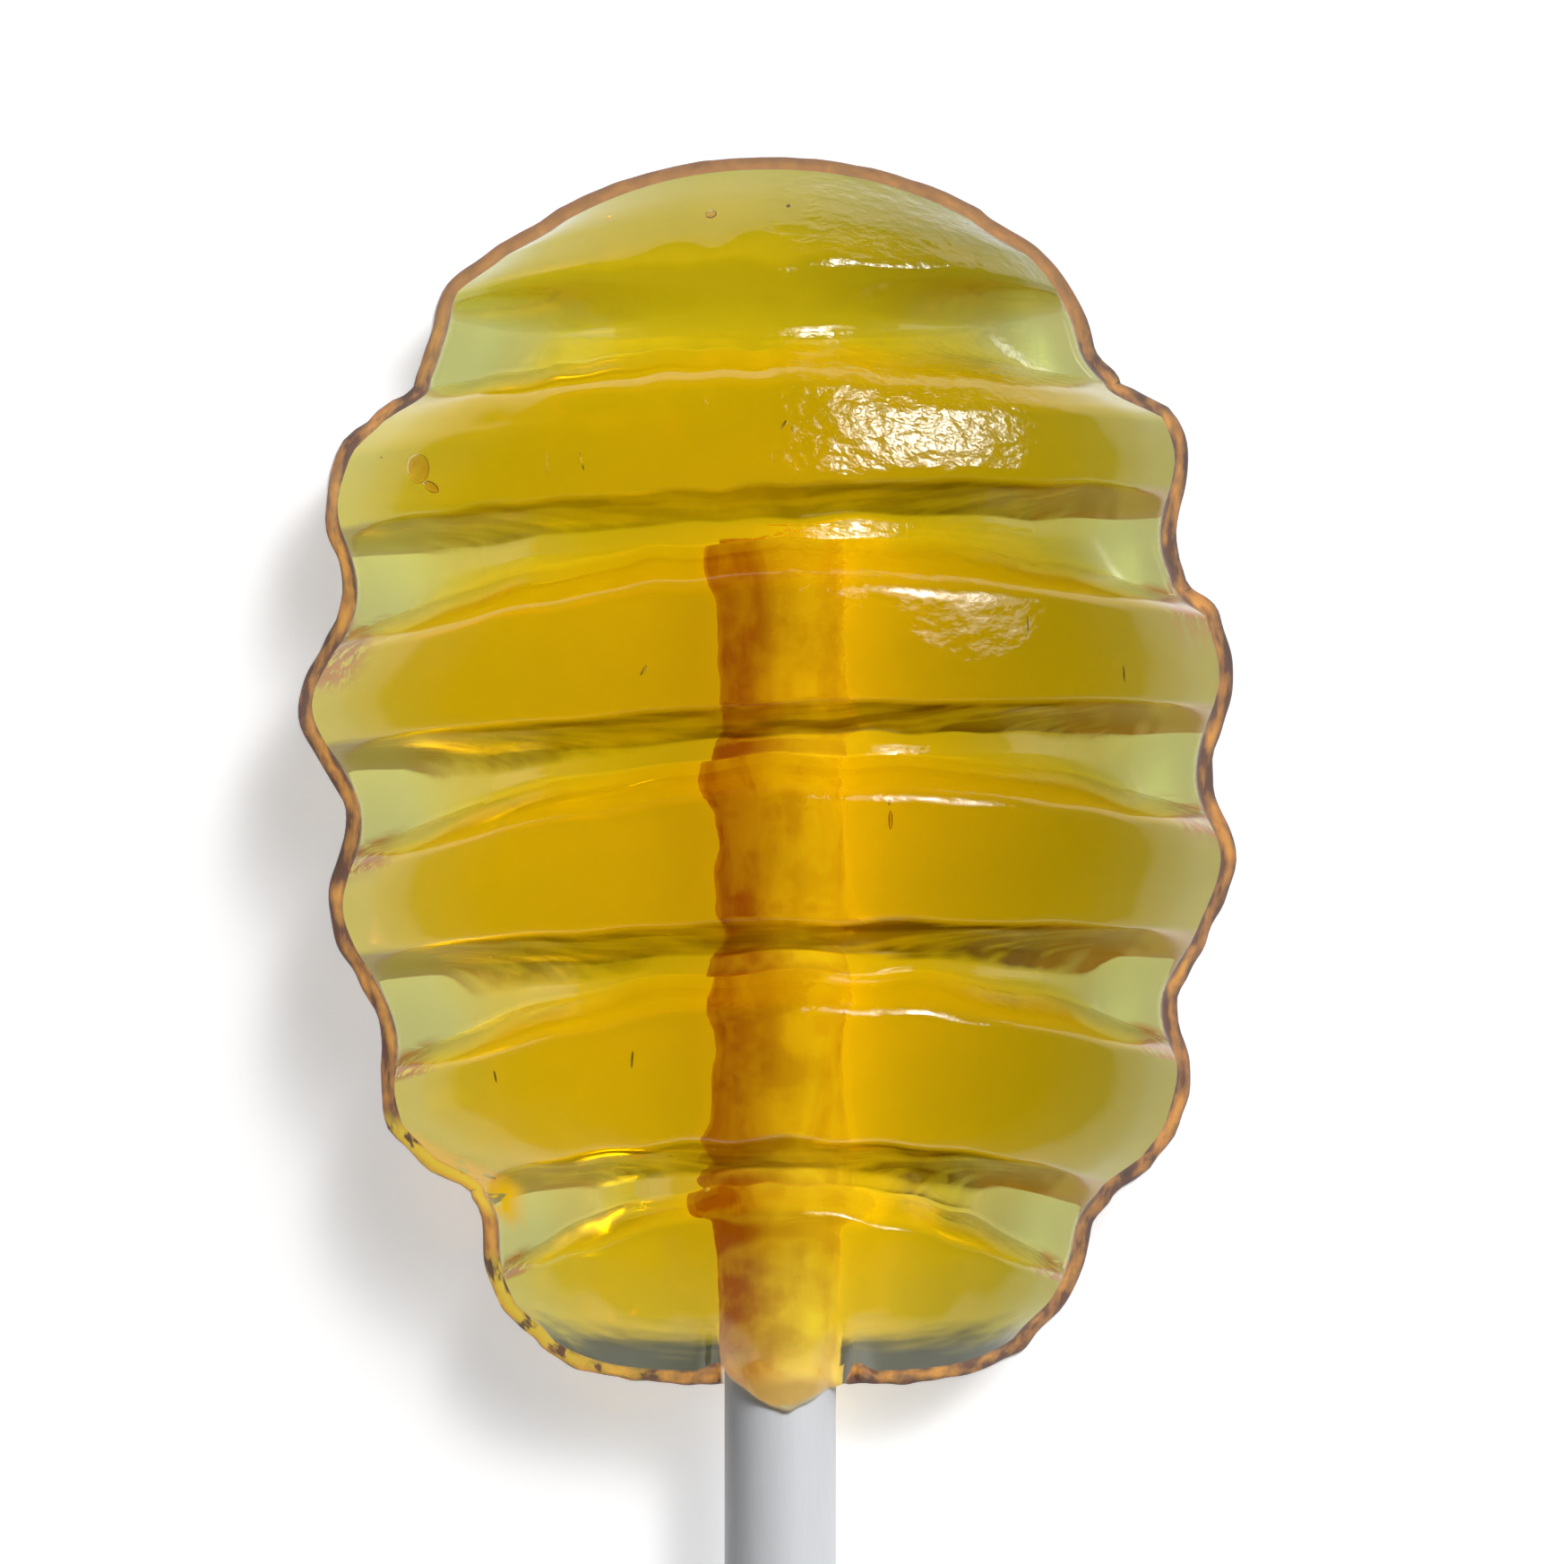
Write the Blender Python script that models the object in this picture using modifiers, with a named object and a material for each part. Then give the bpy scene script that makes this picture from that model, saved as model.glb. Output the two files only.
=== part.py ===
"""Honey lollipop: a clear candy head moulded as a ribbed beehive with a flat back, on a round paper stick.

The lollipop lies on its flat back. +Z is the shown front, +Y points to the top of the head, and the stick runs
out along -Y. Sizes and tables are in millimetres. The tables count u to the right of the stick's axis, v up from
the bottom edge of the head and z up from the flat back. A last step puts the origin under the middle of the whole.
"""
import math

import bmesh
import bpy
import numpy as np
from mathutils import Matrix, Vector

MM = 0.001

# Stick
STICK_DIAMETER = 4.0
STICK_LENGTH = 114.3
STICK_TOP_V = 29.8            # its end inside the candy
STICK_AXIS_Z = 2.8            # so that the candy closes behind it
STICK_SIDES = 32
STICK_EDGE_ROUND = 0.15
GAP = 0.3                     # between the stick and the candy

# Head, as a whole
HEAD_LENGTH = 44.2
DOME_HEIGHT = 10.4            # above the edge, at the thickest place
RIM_WIDTH = 0.65              # the side wall slopes in by this much from the back to the front
RIDGE_EDGE_Z = 2.4            # height of the side wall at the end of a ridge
GROOVE_EDGE_Z = 1.7           # and at the end of a groove
SHELF_WIDTH = 3.0             # flat ledge at each end of a groove
SHELF_FADE = 0.6              # exponent of the groove's arch, softer than the ridge's half ellipse

# Silhouette, as (v, u) stations from the bottom corner to the top corner of each side
LEFT_SIDE = [
    (1.77, -9.06), (3.06, -10.19), (4.70, -10.70), (5.65, -10.74), (6.94, -11.42), (8.23, -13.19), (9.52, -14.19),
    (10.80, -14.42), (12.10, -14.36), (17.26, -16.26), (20.20, -15.66), (24.40, -17.36), (28.50, -15.81),
    (31.45, -16.45), (33.39, -16.00), (34.68, -14.94), (35.97, -13.36), (37.90, -12.61), (39.20, -12.23),
    (40.49, -10.87), (41.78, -8.87)]
RIGHT_SIDE = [
    (1.77, 9.19), (3.06, 10.32), (4.36, 10.94), (5.65, 11.26), (6.94, 12.20), (8.23, 13.65), (9.52, 14.42),
    (11.40, 14.81), (13.50, 14.28), (15.97, 15.39), (19.00, 16.36), (21.90, 15.54), (25.50, 16.29),
    (27.58, 15.84), (28.87, 14.74), (30.50, 14.25), (33.20, 14.72), (34.68, 14.36), (35.97, 12.58),
    (37.26, 11.42), (38.55, 10.97), (40.49, 9.71), (41.78, 7.94)]

# Bottom and top edges: v at the left corner, the middle and the right corner, and how square the bow between is
BOTTOM_EDGE = (1.77, 0.0, 1.77, 5.2)
TOP_EDGE = (41.78, HEAD_LENGTH, 41.78, 2.15)

# Grooves from the lowest up: v of the floor at the left end, the middle and the right end, the depth at the middle,
# then the widths of half the floor, the ridge's underside above it and the step down to the next ridge below it,
# first at the middle and then at the ends
GROOVE_BOW = 2.2
GROOVES = [
    ((5.6, 7.7, 5.5), 1.4, (0.3, 1.3, 1.6), (0.8, 1.3, 1.2)),
    ((13.3, 15.3, 14.1), 1.7, (0.3, 1.4, 2.0), (1.1, 1.3, 1.5)),
    ((20.8, 22.9, 22.2), 1.7, (0.3, 1.4, 2.0), (1.1, 1.3, 1.5)),
    ((28.5, 30.5, 29.9), 1.7, (0.3, 1.6, 2.2), (1.1, 1.3, 1.5)),
    ((37.2, 37.2, 37.5), 1.5, (0.2, 2.1, 1.6), (0.9, 0.8, 1.2))]
ENDS_WIDEN = 3.0              # exponent: how late along a groove its widths turn from the middle's to the ends'
STEP_ROUND = 2.4              # exponent of the round shoulder from a step to its ridge

# Mesh
COLUMNS = 36
ROWS = {"bottom": 8, "ridge": 5, "step": 4, "floor": 1, "underside": 3, "dome": 9}

# Mouth where the stick comes out, and the lip of candy that ran onto the front of the stick
MOUTH_WIDTH = 4.8
MOUTH_DEPTH = 0.45
LIP_CENTRE = (0.2, 0.45)
LIP_SIZE = (2.0, 1.05, 0.8)   # half width, half length, half thickness

# Colours
CANDY_COLOR = (0.62, 0.36, 0.01, 1.0)
PAPER_COLOR = (0.74, 0.78, 0.84, 1.0)


def smooth_line(stations, x):
    """Height at x of a smooth curve through the stations, level at every peak and dip."""
    xs, ys = np.array(stations, dtype=float).T
    slopes = np.diff(ys) / np.diff(xs)
    tangents = np.zeros(len(xs))
    tangents[0], tangents[-1] = slopes[0], slopes[-1]
    for i in range(1, len(xs) - 1):
        if slopes[i - 1] * slopes[i] > 0:
            tangents[i] = 2 / (1 / slopes[i - 1] + 1 / slopes[i])
    i = int(np.clip(np.searchsorted(xs, x) - 1, 0, len(slopes) - 1))
    span = xs[i + 1] - xs[i]
    w = (x - xs[i]) / span
    return (ys[i] * (1 + 2 * w) * (1 - w) ** 2 + ys[i + 1] * w * w * (3 - 2 * w)
            + span * (tangents[i] * w * (1 - w) ** 2 - tangents[i + 1] * w * w * (1 - w)))


def inner_edge(side, v):
    """Where the front face starts at height v: the silhouette moved in by the rim, square to itself."""
    u = smooth_line(side, v)
    step = 0.05
    lean = (smooth_line(side, v + step) - smooth_line(side, v - step)) / (2 * step)
    return u - math.copysign(RIM_WIDTH * math.hypot(1, lean), u)


def bowed(left, middle, right, power, s):
    """v of a line that runs from the left end over a bowed middle to the right end, at s from -1 to 1."""
    straight = left + (right - left) * (1 + s) / 2
    return straight + (middle - (left + right) / 2) * (1 - abs(s) ** power)


def groove_line(groove, part, s):
    """v of one line along a groove: brow and toe of the step below its floor, heel and lip of the underside above."""
    (left, middle, right), _, at_middle, at_ends = groove
    half_floor, underside, step = (m + (e - m) * abs(s) ** ENDS_WIDEN for m, e in zip(at_middle, at_ends))
    offset = {"brow": -half_floor - step, "toe": -half_floor, "heel": half_floor, "lip": half_floor + underside}
    return bowed(left, middle, right, GROOVE_BOW, s) + offset[part]


def feature_lines():
    """Every line across the head from the bottom edge up, each a function of s."""
    bottom_left, bottom, bottom_right, bottom_bow = BOTTOM_EDGE
    top_left, top, top_right, top_bow = TOP_EDGE
    lines = [lambda s: bowed(bottom_left, bottom + RIM_WIDTH, bottom_right, bottom_bow, s)]
    for groove in GROOVES:
        for part in ("brow", "toe", "heel", "lip"):
            lines.append(lambda s, groove=groove, part=part: groove_line(groove, part, s))
    lines.append(lambda s: bowed(top_left, top - RIM_WIDTH, top_right, top_bow, s))
    return lines


def feature_rows():
    """Rows of the mesh as (index of the line below, share of the way to the next line, ridge share, groove)."""
    rows = []

    def add(kind, line, share, ridge, groove, closed=False):
        count = ROWS[kind]
        for i in range(count + (1 if closed else 0)):
            w = i / count
            rows.append((line, share(w), ridge(w), groove))

    add("bottom", 0, lambda w: 1 - math.cos(w * math.pi / 2), lambda w: 1.0, GROOVES[0])
    for number, groove in enumerate(GROOVES):
        brow = 1 + 4 * number
        add("step", brow, lambda w: w, lambda w: 1 - w ** STEP_ROUND, groove)
        add("floor", brow + 1, lambda w: w, lambda w: 0.0, groove)
        add("underside", brow + 2, lambda w: w, lambda w: 0.5 - 0.5 * math.cos(math.pi * w), groove)
        if groove is not GROOVES[-1]:
            add("ridge", brow + 3, lambda w: w, lambda w: 1.0, groove)
    add("dome", brow + 3, lambda w: math.sin(w * math.pi / 2), lambda w: 1.0, groove, closed=True)
    return rows


def front_point(row, lines, s):
    """A point of the front face: s runs from -1 at its left edge to 1 at its right edge."""
    line, share, ridge, groove = row

    def height(at):
        return lines[line](at) * (1 - share) + lines[line + 1](at) * share

    left, right = inner_edge(LEFT_SIDE, height(-1)), inner_edge(RIGHT_SIDE, height(1))
    u = left + (right - left) * (1 + s) / 2
    reach = HEAD_LENGTH / 2 - RIM_WIDTH
    along = min(1.0, abs(height(0) - HEAD_LENGTH / 2) / reach)
    crest = DOME_HEIGHT * math.sqrt(1 - along * along)
    over_ridge = RIDGE_EDGE_Z + crest * math.sqrt(1 - s * s)
    ledge = min(1.0, abs(s) / (1 - 2 * SHELF_WIDTH / (right - left)))
    over_groove = GROOVE_EDGE_Z + max(0.0, crest - groove[1]) * (1 - ledge * ledge) ** SHELF_FADE
    return Vector((u, height(s), over_groove + (over_ridge - over_groove) * ridge))


def head_mesh():
    """The head before the stick is let in: a grid bent into the ribbed front, with its border drawn to the back."""
    lines, rows = feature_lines(), feature_rows()
    bm = bmesh.new()
    bmesh.ops.create_grid(bm, x_segments=COLUMNS, y_segments=len(rows) - 1, size=1)
    for vert in bm.verts:
        across = round((vert.co.x + 1) / 2 * COLUMNS) / COLUMNS
        row = rows[round((vert.co.y + 1) / 2 * (len(rows) - 1))]
        vert.co = front_point(row, lines, math.sin((across - 0.5) * math.pi)) * MM
    border = [edge for edge in bm.edges if edge.is_boundary]
    outward = {vert: border_normal(vert) for edge in border for vert in edge.verts}
    wall = bmesh.ops.extrude_edge_only(bm, edges=border)["geom"]
    foot = [item for item in wall if isinstance(item, bmesh.types.BMVert)]
    for vert in foot:
        above = next(edge.other_vert(vert) for edge in vert.link_edges if edge.other_vert(vert) in outward)
        vert.co = above.co + outward[above] * RIM_WIDTH * MM
        vert.co.z = 0.0
    bmesh.ops.holes_fill(bm, edges=[edge for edge in bm.edges if edge.is_boundary])
    bmesh.ops.recalc_face_normals(bm, faces=bm.faces)
    bmesh.ops.triangulate(bm, faces=[face for face in bm.faces if len(face.verts) > 4])
    mesh = bpy.data.meshes.new("candy_head")
    bm.to_mesh(mesh)
    bm.free()
    return mesh


def border_normal(vert):
    """Level direction that points out of the head at a vertex on its border."""
    normal = Vector((0, 0, 0))
    for edge in vert.link_edges:
        if edge.is_boundary:
            along = (edge.other_vert(vert).co - vert.co).normalized()
            out = Vector((along.y, -along.x, 0))
            inward = edge.link_faces[0].calc_center_median() - vert.co
            normal += out if out.dot(inward) < 0 else -out
    return normal.normalized()


def material(name, color, roughness, transmission=0.0):
    """A plain finish in the part's own colour."""
    made = bpy.data.materials.new(name)
    made.use_nodes = True
    shader = made.node_tree.nodes["Principled BSDF"]
    shader.inputs["Base Color"].default_value = color
    shader.inputs["Metallic"].default_value = 0.0
    shader.inputs["Roughness"].default_value = roughness
    shader.inputs["Transmission Weight"].default_value = transmission
    return made


def smooth_shaded(mesh, angle):
    mesh.shade_smooth()
    mesh.set_sharp_from_angle(angle=math.radians(angle))


def lying_cylinder(name, radius, start_v, end_v, sides):
    """A cylinder along the stick's axis from start_v to end_v."""
    bpy.ops.mesh.primitive_cylinder_add(vertices=sides, radius=radius * MM, depth=(end_v - start_v) * MM)
    made = bpy.context.object
    made.name = name
    made.rotation_euler.x = math.radians(-90)
    made.location = (0, (start_v + end_v) / 2 * MM, STICK_AXIS_Z * MM)
    return made


def use_as_tool(tool, collection):
    """Keeps a cutter or an added shape out of the finished part."""
    for held in tool.users_collection:
        held.objects.unlink(tool)
    collection.objects.link(tool)
    tool.hide_render = True
    tool.display_type = "WIRE"


def boolean(target, tool, operation):
    modifier = target.modifiers.new(tool.name, "BOOLEAN")
    modifier.operation = operation
    modifier.solver = "EXACT"
    modifier.object = tool


def build_stick(parts):
    """The paper stick, from its buried end to its free end."""
    stick = lying_cylinder("stick", STICK_DIAMETER / 2, STICK_TOP_V - STICK_LENGTH, STICK_TOP_V, STICK_SIDES)
    smooth_shaded(stick.data, 40)
    bevel = stick.modifiers.new("edge round", "BEVEL")
    bevel.width = STICK_EDGE_ROUND * MM
    bevel.segments = 2
    bevel.limit_method = "ANGLE"
    stick.data.materials.append(material("paper", PAPER_COLOR, 0.6))
    bpy.context.collection.objects.unlink(stick)
    parts.objects.link(stick)
    return stick


def build_head(parts, tools):
    """The candy: the ribbed head with its lip, bored for the stick and cut back at the stick's mouth."""
    head = bpy.data.objects.new("candy_head", head_mesh())
    parts.objects.link(head)
    head.data.materials.append(material("candy", CANDY_COLOR, 0.05, transmission=0.8))
    smooth_shaded(head.data, 35)

    bpy.ops.mesh.primitive_uv_sphere_add(segments=20, ring_count=12, radius=MM)
    lip = bpy.context.object
    lip.name = "lip"
    lip.data.transform(Matrix.Diagonal((*LIP_SIZE, 1)))
    lip.location = Vector((*LIP_CENTRE, STICK_AXIS_Z + STICK_DIAMETER / 2 + GAP)) * MM

    bpy.ops.mesh.primitive_cube_add(size=MM)
    mouth = bpy.context.object
    mouth.name = "mouth"
    mouth_height = 2 * (STICK_AXIS_Z + STICK_DIAMETER / 2 + GAP / 2)
    mouth.data.transform(Matrix.Diagonal((MOUTH_WIDTH, 2 * MOUTH_DEPTH, mouth_height, 1)))

    bore = lying_cylinder("bore", STICK_DIAMETER / 2 + GAP, -5.0, STICK_TOP_V + GAP, STICK_SIDES)
    for tool, operation in ((lip, "UNION"), (mouth, "DIFFERENCE"), (bore, "DIFFERENCE")):
        use_as_tool(tool, tools)
        boolean(head, tool, operation)
    return head


def centre_over_origin(frame, parts):
    """Moves the frame that carries the parts so that the origin is under the middle of their box."""
    depsgraph = bpy.context.evaluated_depsgraph_get()
    corners = np.array([part.matrix_world @ vert.co
                        for part in parts for vert in part.evaluated_get(depsgraph).data.vertices])
    low, high = corners.min(axis=0), corners.max(axis=0)
    frame.location = (-(low[0] + high[0]) / 2, -(low[1] + high[1]) / 2, -low[2])


def main():
    for old in list(bpy.data.objects):
        bpy.data.objects.remove(old)
    parts = bpy.data.collections.new("honey lollipop")
    tools = bpy.data.collections.new("cutters")
    bpy.context.scene.collection.children.link(parts)
    bpy.context.scene.collection.children.link(tools)
    frame = bpy.data.objects.new("lollipop frame", None)
    parts.objects.link(frame)
    pieces = [build_head(parts, tools), build_stick(parts)]
    for child in pieces + list(tools.objects):
        child.parent = frame
    bpy.context.view_layer.update()
    centre_over_origin(frame, pieces)


if __name__ == "__main__":
    main()
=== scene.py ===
"""Honey lollipop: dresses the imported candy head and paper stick, and sets the stage for the shown view.

The lollipop lies on its flat back, its shown front up and the top of its head towards +Y. The mould's tables
are in millimetres: u to the right of the stick's axis, v up from the head's bottom edge, z up from its back.
Settings and finished meshes are in metres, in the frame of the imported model.
"""
import math
from collections import namedtuple

import bpy
import numpy as np
from bpy.props import FloatProperty, FloatVectorProperty, IntProperty, PointerProperty
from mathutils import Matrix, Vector


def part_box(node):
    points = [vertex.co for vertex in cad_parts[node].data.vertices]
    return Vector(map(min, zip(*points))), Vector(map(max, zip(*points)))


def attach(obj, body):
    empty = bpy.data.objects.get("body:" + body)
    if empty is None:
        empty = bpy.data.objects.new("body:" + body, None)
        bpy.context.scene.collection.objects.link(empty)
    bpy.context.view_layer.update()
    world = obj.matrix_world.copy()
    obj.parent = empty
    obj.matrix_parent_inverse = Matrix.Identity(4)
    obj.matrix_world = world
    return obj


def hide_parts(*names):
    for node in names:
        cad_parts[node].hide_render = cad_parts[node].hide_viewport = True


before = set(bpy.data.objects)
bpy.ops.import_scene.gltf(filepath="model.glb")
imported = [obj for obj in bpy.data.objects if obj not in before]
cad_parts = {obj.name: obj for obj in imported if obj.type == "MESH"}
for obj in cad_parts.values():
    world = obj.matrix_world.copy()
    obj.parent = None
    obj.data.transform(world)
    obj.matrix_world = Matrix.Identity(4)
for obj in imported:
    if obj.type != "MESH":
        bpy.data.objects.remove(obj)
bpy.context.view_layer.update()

bl_info = {
    "name": "Honey lollipop",
    "version": (1, 0, 0),
    "blender": (4, 5, 0),
    "location": "View3D > Sidebar > Lollipop",
    "description": "Moulded clear candy head on a rolled paper stick, and the stage that shows it",
    "category": "Object",
}

MM = 0.001
WHITE = (1.0, 1.0, 1.0)
BLACK = (0.0, 0.0, 0.0)
STICK_LOW, STICK_HIGH = (Vector(corner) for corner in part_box("stick"))

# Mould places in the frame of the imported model: the stick's buried end fixes where v is zero
STICK_TOP_V = 29.8
STICK_AXIS_Z = (STICK_LOW.z + STICK_HIGH.z) / 2 / MM
STICK_RADIUS = (STICK_HIGH.x - STICK_LOW.x) / 2 / MM
MOULD_X = (STICK_LOW.x + STICK_HIGH.x) / 2
MOULD_Y = STICK_HIGH.y - STICK_TOP_V * MM

# Head, as a whole
HEAD_LENGTH = 44.2
RIDGE_EDGE_Z = 2.4            # height of the side wall at the end of a ridge
GROOVE_EDGE_Z = 1.7           # and at the end of a groove
SHELF_WIDTH = 4.4             # ledge at each end of a groove, with its soft passage to the groove's arch
SHELF_ROUND = 0.5             # exponent of the groove's arch
SHELF_FLANK = 0.85            # where that arch turns straight
SHELF_BLEND = 0.7             # height over which it passes into the ledge
LEDGE_ROUND = 0.35            # radius of a ledge's outer edge
WIDTH_FLANK = 0.94            # where the front's arch from side to side turns straight
LENGTH_FLANK = 0.963          # and its arch from end to end

# Silhouette, as (v, u) stations from the bottom corner to the top corner of each side
LEFT_SIDE = [
    (1.77, -9.06), (3.06, -10.19), (4.70, -10.70), (5.65, -10.74), (6.94, -11.42), (8.23, -13.19),
    (9.52, -14.19), (10.80, -14.42), (12.10, -14.36), (17.26, -16.26), (20.20, -15.66), (24.40, -17.36),
    (28.50, -15.81), (31.45, -16.45), (33.39, -16.00), (34.68, -14.94), (35.97, -13.36), (37.90, -12.61),
    (39.20, -12.23), (40.49, -10.87), (41.78, -8.87)]
RIGHT_SIDE = [
    (1.77, 9.19), (3.06, 10.32), (4.36, 10.94), (5.65, 11.26), (6.94, 12.20), (8.23, 13.65), (9.52, 14.42),
    (11.40, 14.81), (13.50, 14.28), (15.97, 15.39), (19.00, 16.36), (21.90, 15.54), (25.50, 16.29),
    (27.58, 15.84), (28.87, 14.74), (30.50, 14.25), (33.20, 14.72), (34.68, 14.36), (35.97, 12.58),
    (37.26, 11.42), (38.55, 10.97), (40.49, 9.71), (41.78, 7.94)]

# Bottom and top edges: v at the left corner, the middle and the right corner, and how square the bow is
BOTTOM_EDGE = (1.77, 0.0, 1.77, 5.2)
TOP_EDGE = (41.78, HEAD_LENGTH, 41.78, 2.15)

# Grooves from the lowest up: v of the floor at the left end, the middle and the right end, the depth at the
# middle, then the widths of half the floor, the underside above it and the step below it, first at the middle
# and then at the ends
GROOVE_BOW = 2.2
GROOVES = [
    ((5.4, 7.7, 5.3), 1.4, (0.3, 1.3, 1.6), (1.1, 1.2, 0.7)),
    ((13.1, 15.3, 13.9), 1.7, (0.3, 1.4, 2.0), (1.4, 1.2, 0.9)),
    ((20.6, 22.9, 22.0), 1.7, (0.3, 1.4, 2.0), (1.4, 1.2, 0.9)),
    ((28.3, 30.5, 29.7), 1.7, (0.3, 1.6, 2.2), (1.4, 1.2, 0.9)),
    ((37.0, 37.2, 37.3), 1.2, (0.2, 2.8, 1.6), (1.2, 0.9, 0.9))]
ENDS_WIDEN = 2.6              # exponent: how late along a groove its widths turn to those at its ends
STEP_ROUND = 2.4              # exponent of the round shoulder from a step to its ridge

WAVER_LENGTH = 3.2            # of the small waver of the grooves' lines
WAVES = (6.5, 71)             # length and seed of the front's long waves
PUCKERS = (1.7, 72)           # and of its short puckers

# Fine mesh of the head
COLUMNS = 150
ROWS = {"bottom": 26, "ridge": 12, "step": 12, "floor": 7, "underside": 12, "dome": 34}

# Side wall: nearly upright from the front's edge down to the flange, then the flange out to the flat back, as
# rings with the share of the way down, the share of the way out and how much of the ring counts as rim
FLANGE_HEIGHT = 0.85
FLANGE_SHARE = 0.6            # of the edge's height, where that is lower
CLIFF = [(0.10, 0.00, 0.1), (0.45, 0.02, 0.3), (0.85, 0.05, 0.7), (1.0, 0.09, 1.0)]
FLANGE = [(0.14, 0.18, 1.0), (0.34, 0.38, 1.0), (0.58, 0.64, 1.0), (0.78, 0.86, 1.0), (0.90, 0.97, 1.0),
          (0.97, 0.98, 1.0), (1.0, 0.90, 0.8), (1.0, 0.2, 0.0)]

RIM_RIPPLES = [(0.08, 1.3, 31), (0.08, 4.0, 32)]      # share of the rim's width, length and seed
RIM_CALM = (36, 39, 1.0, 0.3)         # v at which they fade over the dome, and what is left of them

# Lip of candy that ran onto the front of the stick, and the notch in the head's edge on either side of it
LIP_TIP = (-0.35, 0.35, -0.65)        # u where the blunt tip starts and ends, and its v
LIP_SLOPES = (0.73, 0.45)             # how fast its left and its right edge run back up
LIP_SIDES = (-2.15, 2.6)              # u where it ends at either side
LIP_REACH = 2.4                       # length of head that is drawn down into it
LIP_FILM = 0.12                       # thickness at its edge
LIP_BEAD = 0.42                       # and a little way in
LIP_BEAD_RUN = 0.9
LIP_SOFT = (0.1, 0.35)                # how far outside and inside its sides it fades
LIP_LIFT = 1.6                        # how soon it is lifted onto the stick
LIP_EDGE_RIPPLE = 0.09
LIP_FILM_RIPPLE = 0.05
LIP_FADE = (0.5, 1.7)                 # v from which candy over the stick has the front's tone
NOTCH_DEPTH = 0.3
NOTCH_BLEND = 0.45

# Dark rings on the buried stick, as v: painted shade where the grooves cross it, one of them at its end
RING_PLACES = (29.9, 23.3, 17.5, 15.4, 8.0, 7.0)

# Flaws under the front of the candy, as u, v, half their width, half their length and their turn in degrees
BUBBLES = [(-2.45, 41.78, 0.20, 0.20, 0), (-12.75, 32.75, 0.50, 0.62, 20), (3.85, 20.35, 0.07, 0.30, 0),
           (3.80, 20.95, 0.05, 0.12, 0), (-12.3, 32.1, 0.16, 0.34, 60), (-3.9, 8.5, 0.10, 0.10, 0)]
SPECKS = [(-6.06, 41.71, 0.10, 0.13, 0), (0.29, 42.10, 0.09, 0.09, 0), (-8.19, 32.90, 0.035, 0.36, 0),
          (-6.97, 32.95, 0.035, 0.40, 14), (-5.19, 11.94, 0.04, 0.30, -6), (-10.03, 11.29, 0.04, 0.24, 10),
          (-2.61, 35.00, 0.05, 0.16, 35), (0.10, 34.20, 0.05, 0.20, -30), (0.45, 34.00, 0.04, 0.14, 20),
          (-0.29, 33.07, 0.05, 0.12, 0), (-4.77, 25.60, 0.05, 0.22, -32), (8.68, 27.20, 0.03, 0.34, 2),
          (12.07, 25.50, 0.03, 0.30, 4), (11.70, 26.10, 0.05, 0.08, 0), (-14.1, 33.2, 0.05, 0.10, 50),
          (7.10, 39.10, 0.06, 0.06, 0), (-10.9, 13.2, 0.04, 0.10, 70), (-11.80, 15.05, 0.06, 0.07, 0),
          (-10.30, 15.50, 0.05, 0.06, 0), (-2.55, 7.20, 0.10, 0.14, 20), (-9.40, 23.10, 0.04, 0.05, 0)]
FLAW_THICKNESS = 0.08

# Zones of the candy's finish and its painted light and shade, each a product of soft passages: what a passage
# goes by, where it starts and where it is full, and its values there if they aren't 0 and 1. side runs from
# -1 at the left edge to 1 at the right edge, far is its size and ragged is far with an uneven edge. lean is
# how far the front leans to the top, groove how deep in a groove a place lies, out how far out on the rim,
# and glint how far it is from the line of painted gold light in the notch at the lower left
ZONES = {
    "ledge": [("far", 0.74, 0.90)],
    "end": [("far", 0.70, 0.95)],
    # painted light: the steps that lean towards the top are lighter
    "step": [("lean", 0.30, 0.80)],
    # painted shade: darker to the right, over the top and on the dome's steepest part
    "right shade": [("u", 0.0, 14.0, 0.0, 0.29)],
    "top shade": [("v", 37.0, 40.0), ("u", -2.0, 6.0, 0.088, 0.308)],
    "dome shade": [("lean", 0.60, 0.74), ("v", 37.5, 40.0)],
    # painted shade on the undersides that face the bottom, with its ends, flares, tips and corners
    "underside_shade": [("groove", 0.0, 0.12), ("u", -6.0, 9.0, 0.88, 1.12), ("v", 4.2, 5.8),
              ("v", 24.0, 31.0, 1.0, 0.85), ("v", 34.5, 37.0, 1.0, 0.25)],
    "left end": [("side", -0.70, -0.84)],
    "right end": [("side", 0.68, 0.80)],
    "flare": [("side", -0.60, -0.92)],
    "slate": [("side", -0.80, -0.88)],
    "tip": [("ragged", 0.58, 0.74)],
    "wedge": [("ragged", 0.84, 0.90)],
    "feather": [("far", 0.87, 0.95), ("lean", 0.15, 0.40), ("v", 31.0, 30.0)],
    # painted shade: darker lines along both edges of the rim
    "outer line": [("out", 0.80, 0.97)],
    "inner line": [("out", 0.30, 0.08)],
    "even": [("v", 36.5, 39.5, 0.0, 0.75)],
    # painted gold light on the rim, and on the front in the notch at the lower left
    "notch gold": [("glint", 1.1, 0.5), ("u", -8.9, -9.8)],
    "edge gold": [("u", -3.0, -10.5), ("v", 5.0, 4.0)],
    "crackle": [("lean", 0.0, 0.15), ("u", -1.5, 1.5), ("u", 11.0, 8.0), ("v", 28.5, 32.5, 0.35, 1.0)],
    "flank haze": [("far", 0.45, 0.80, 0.0, 0.10)],
    "ledge haze": [("far", 0.58, 0.72, 0.0, 0.22)]}
CLEAR_HAZE = 0.02             # roughness of the clearest candy
RIM_HAZE = 0.04               # and how much more the rim has
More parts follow.
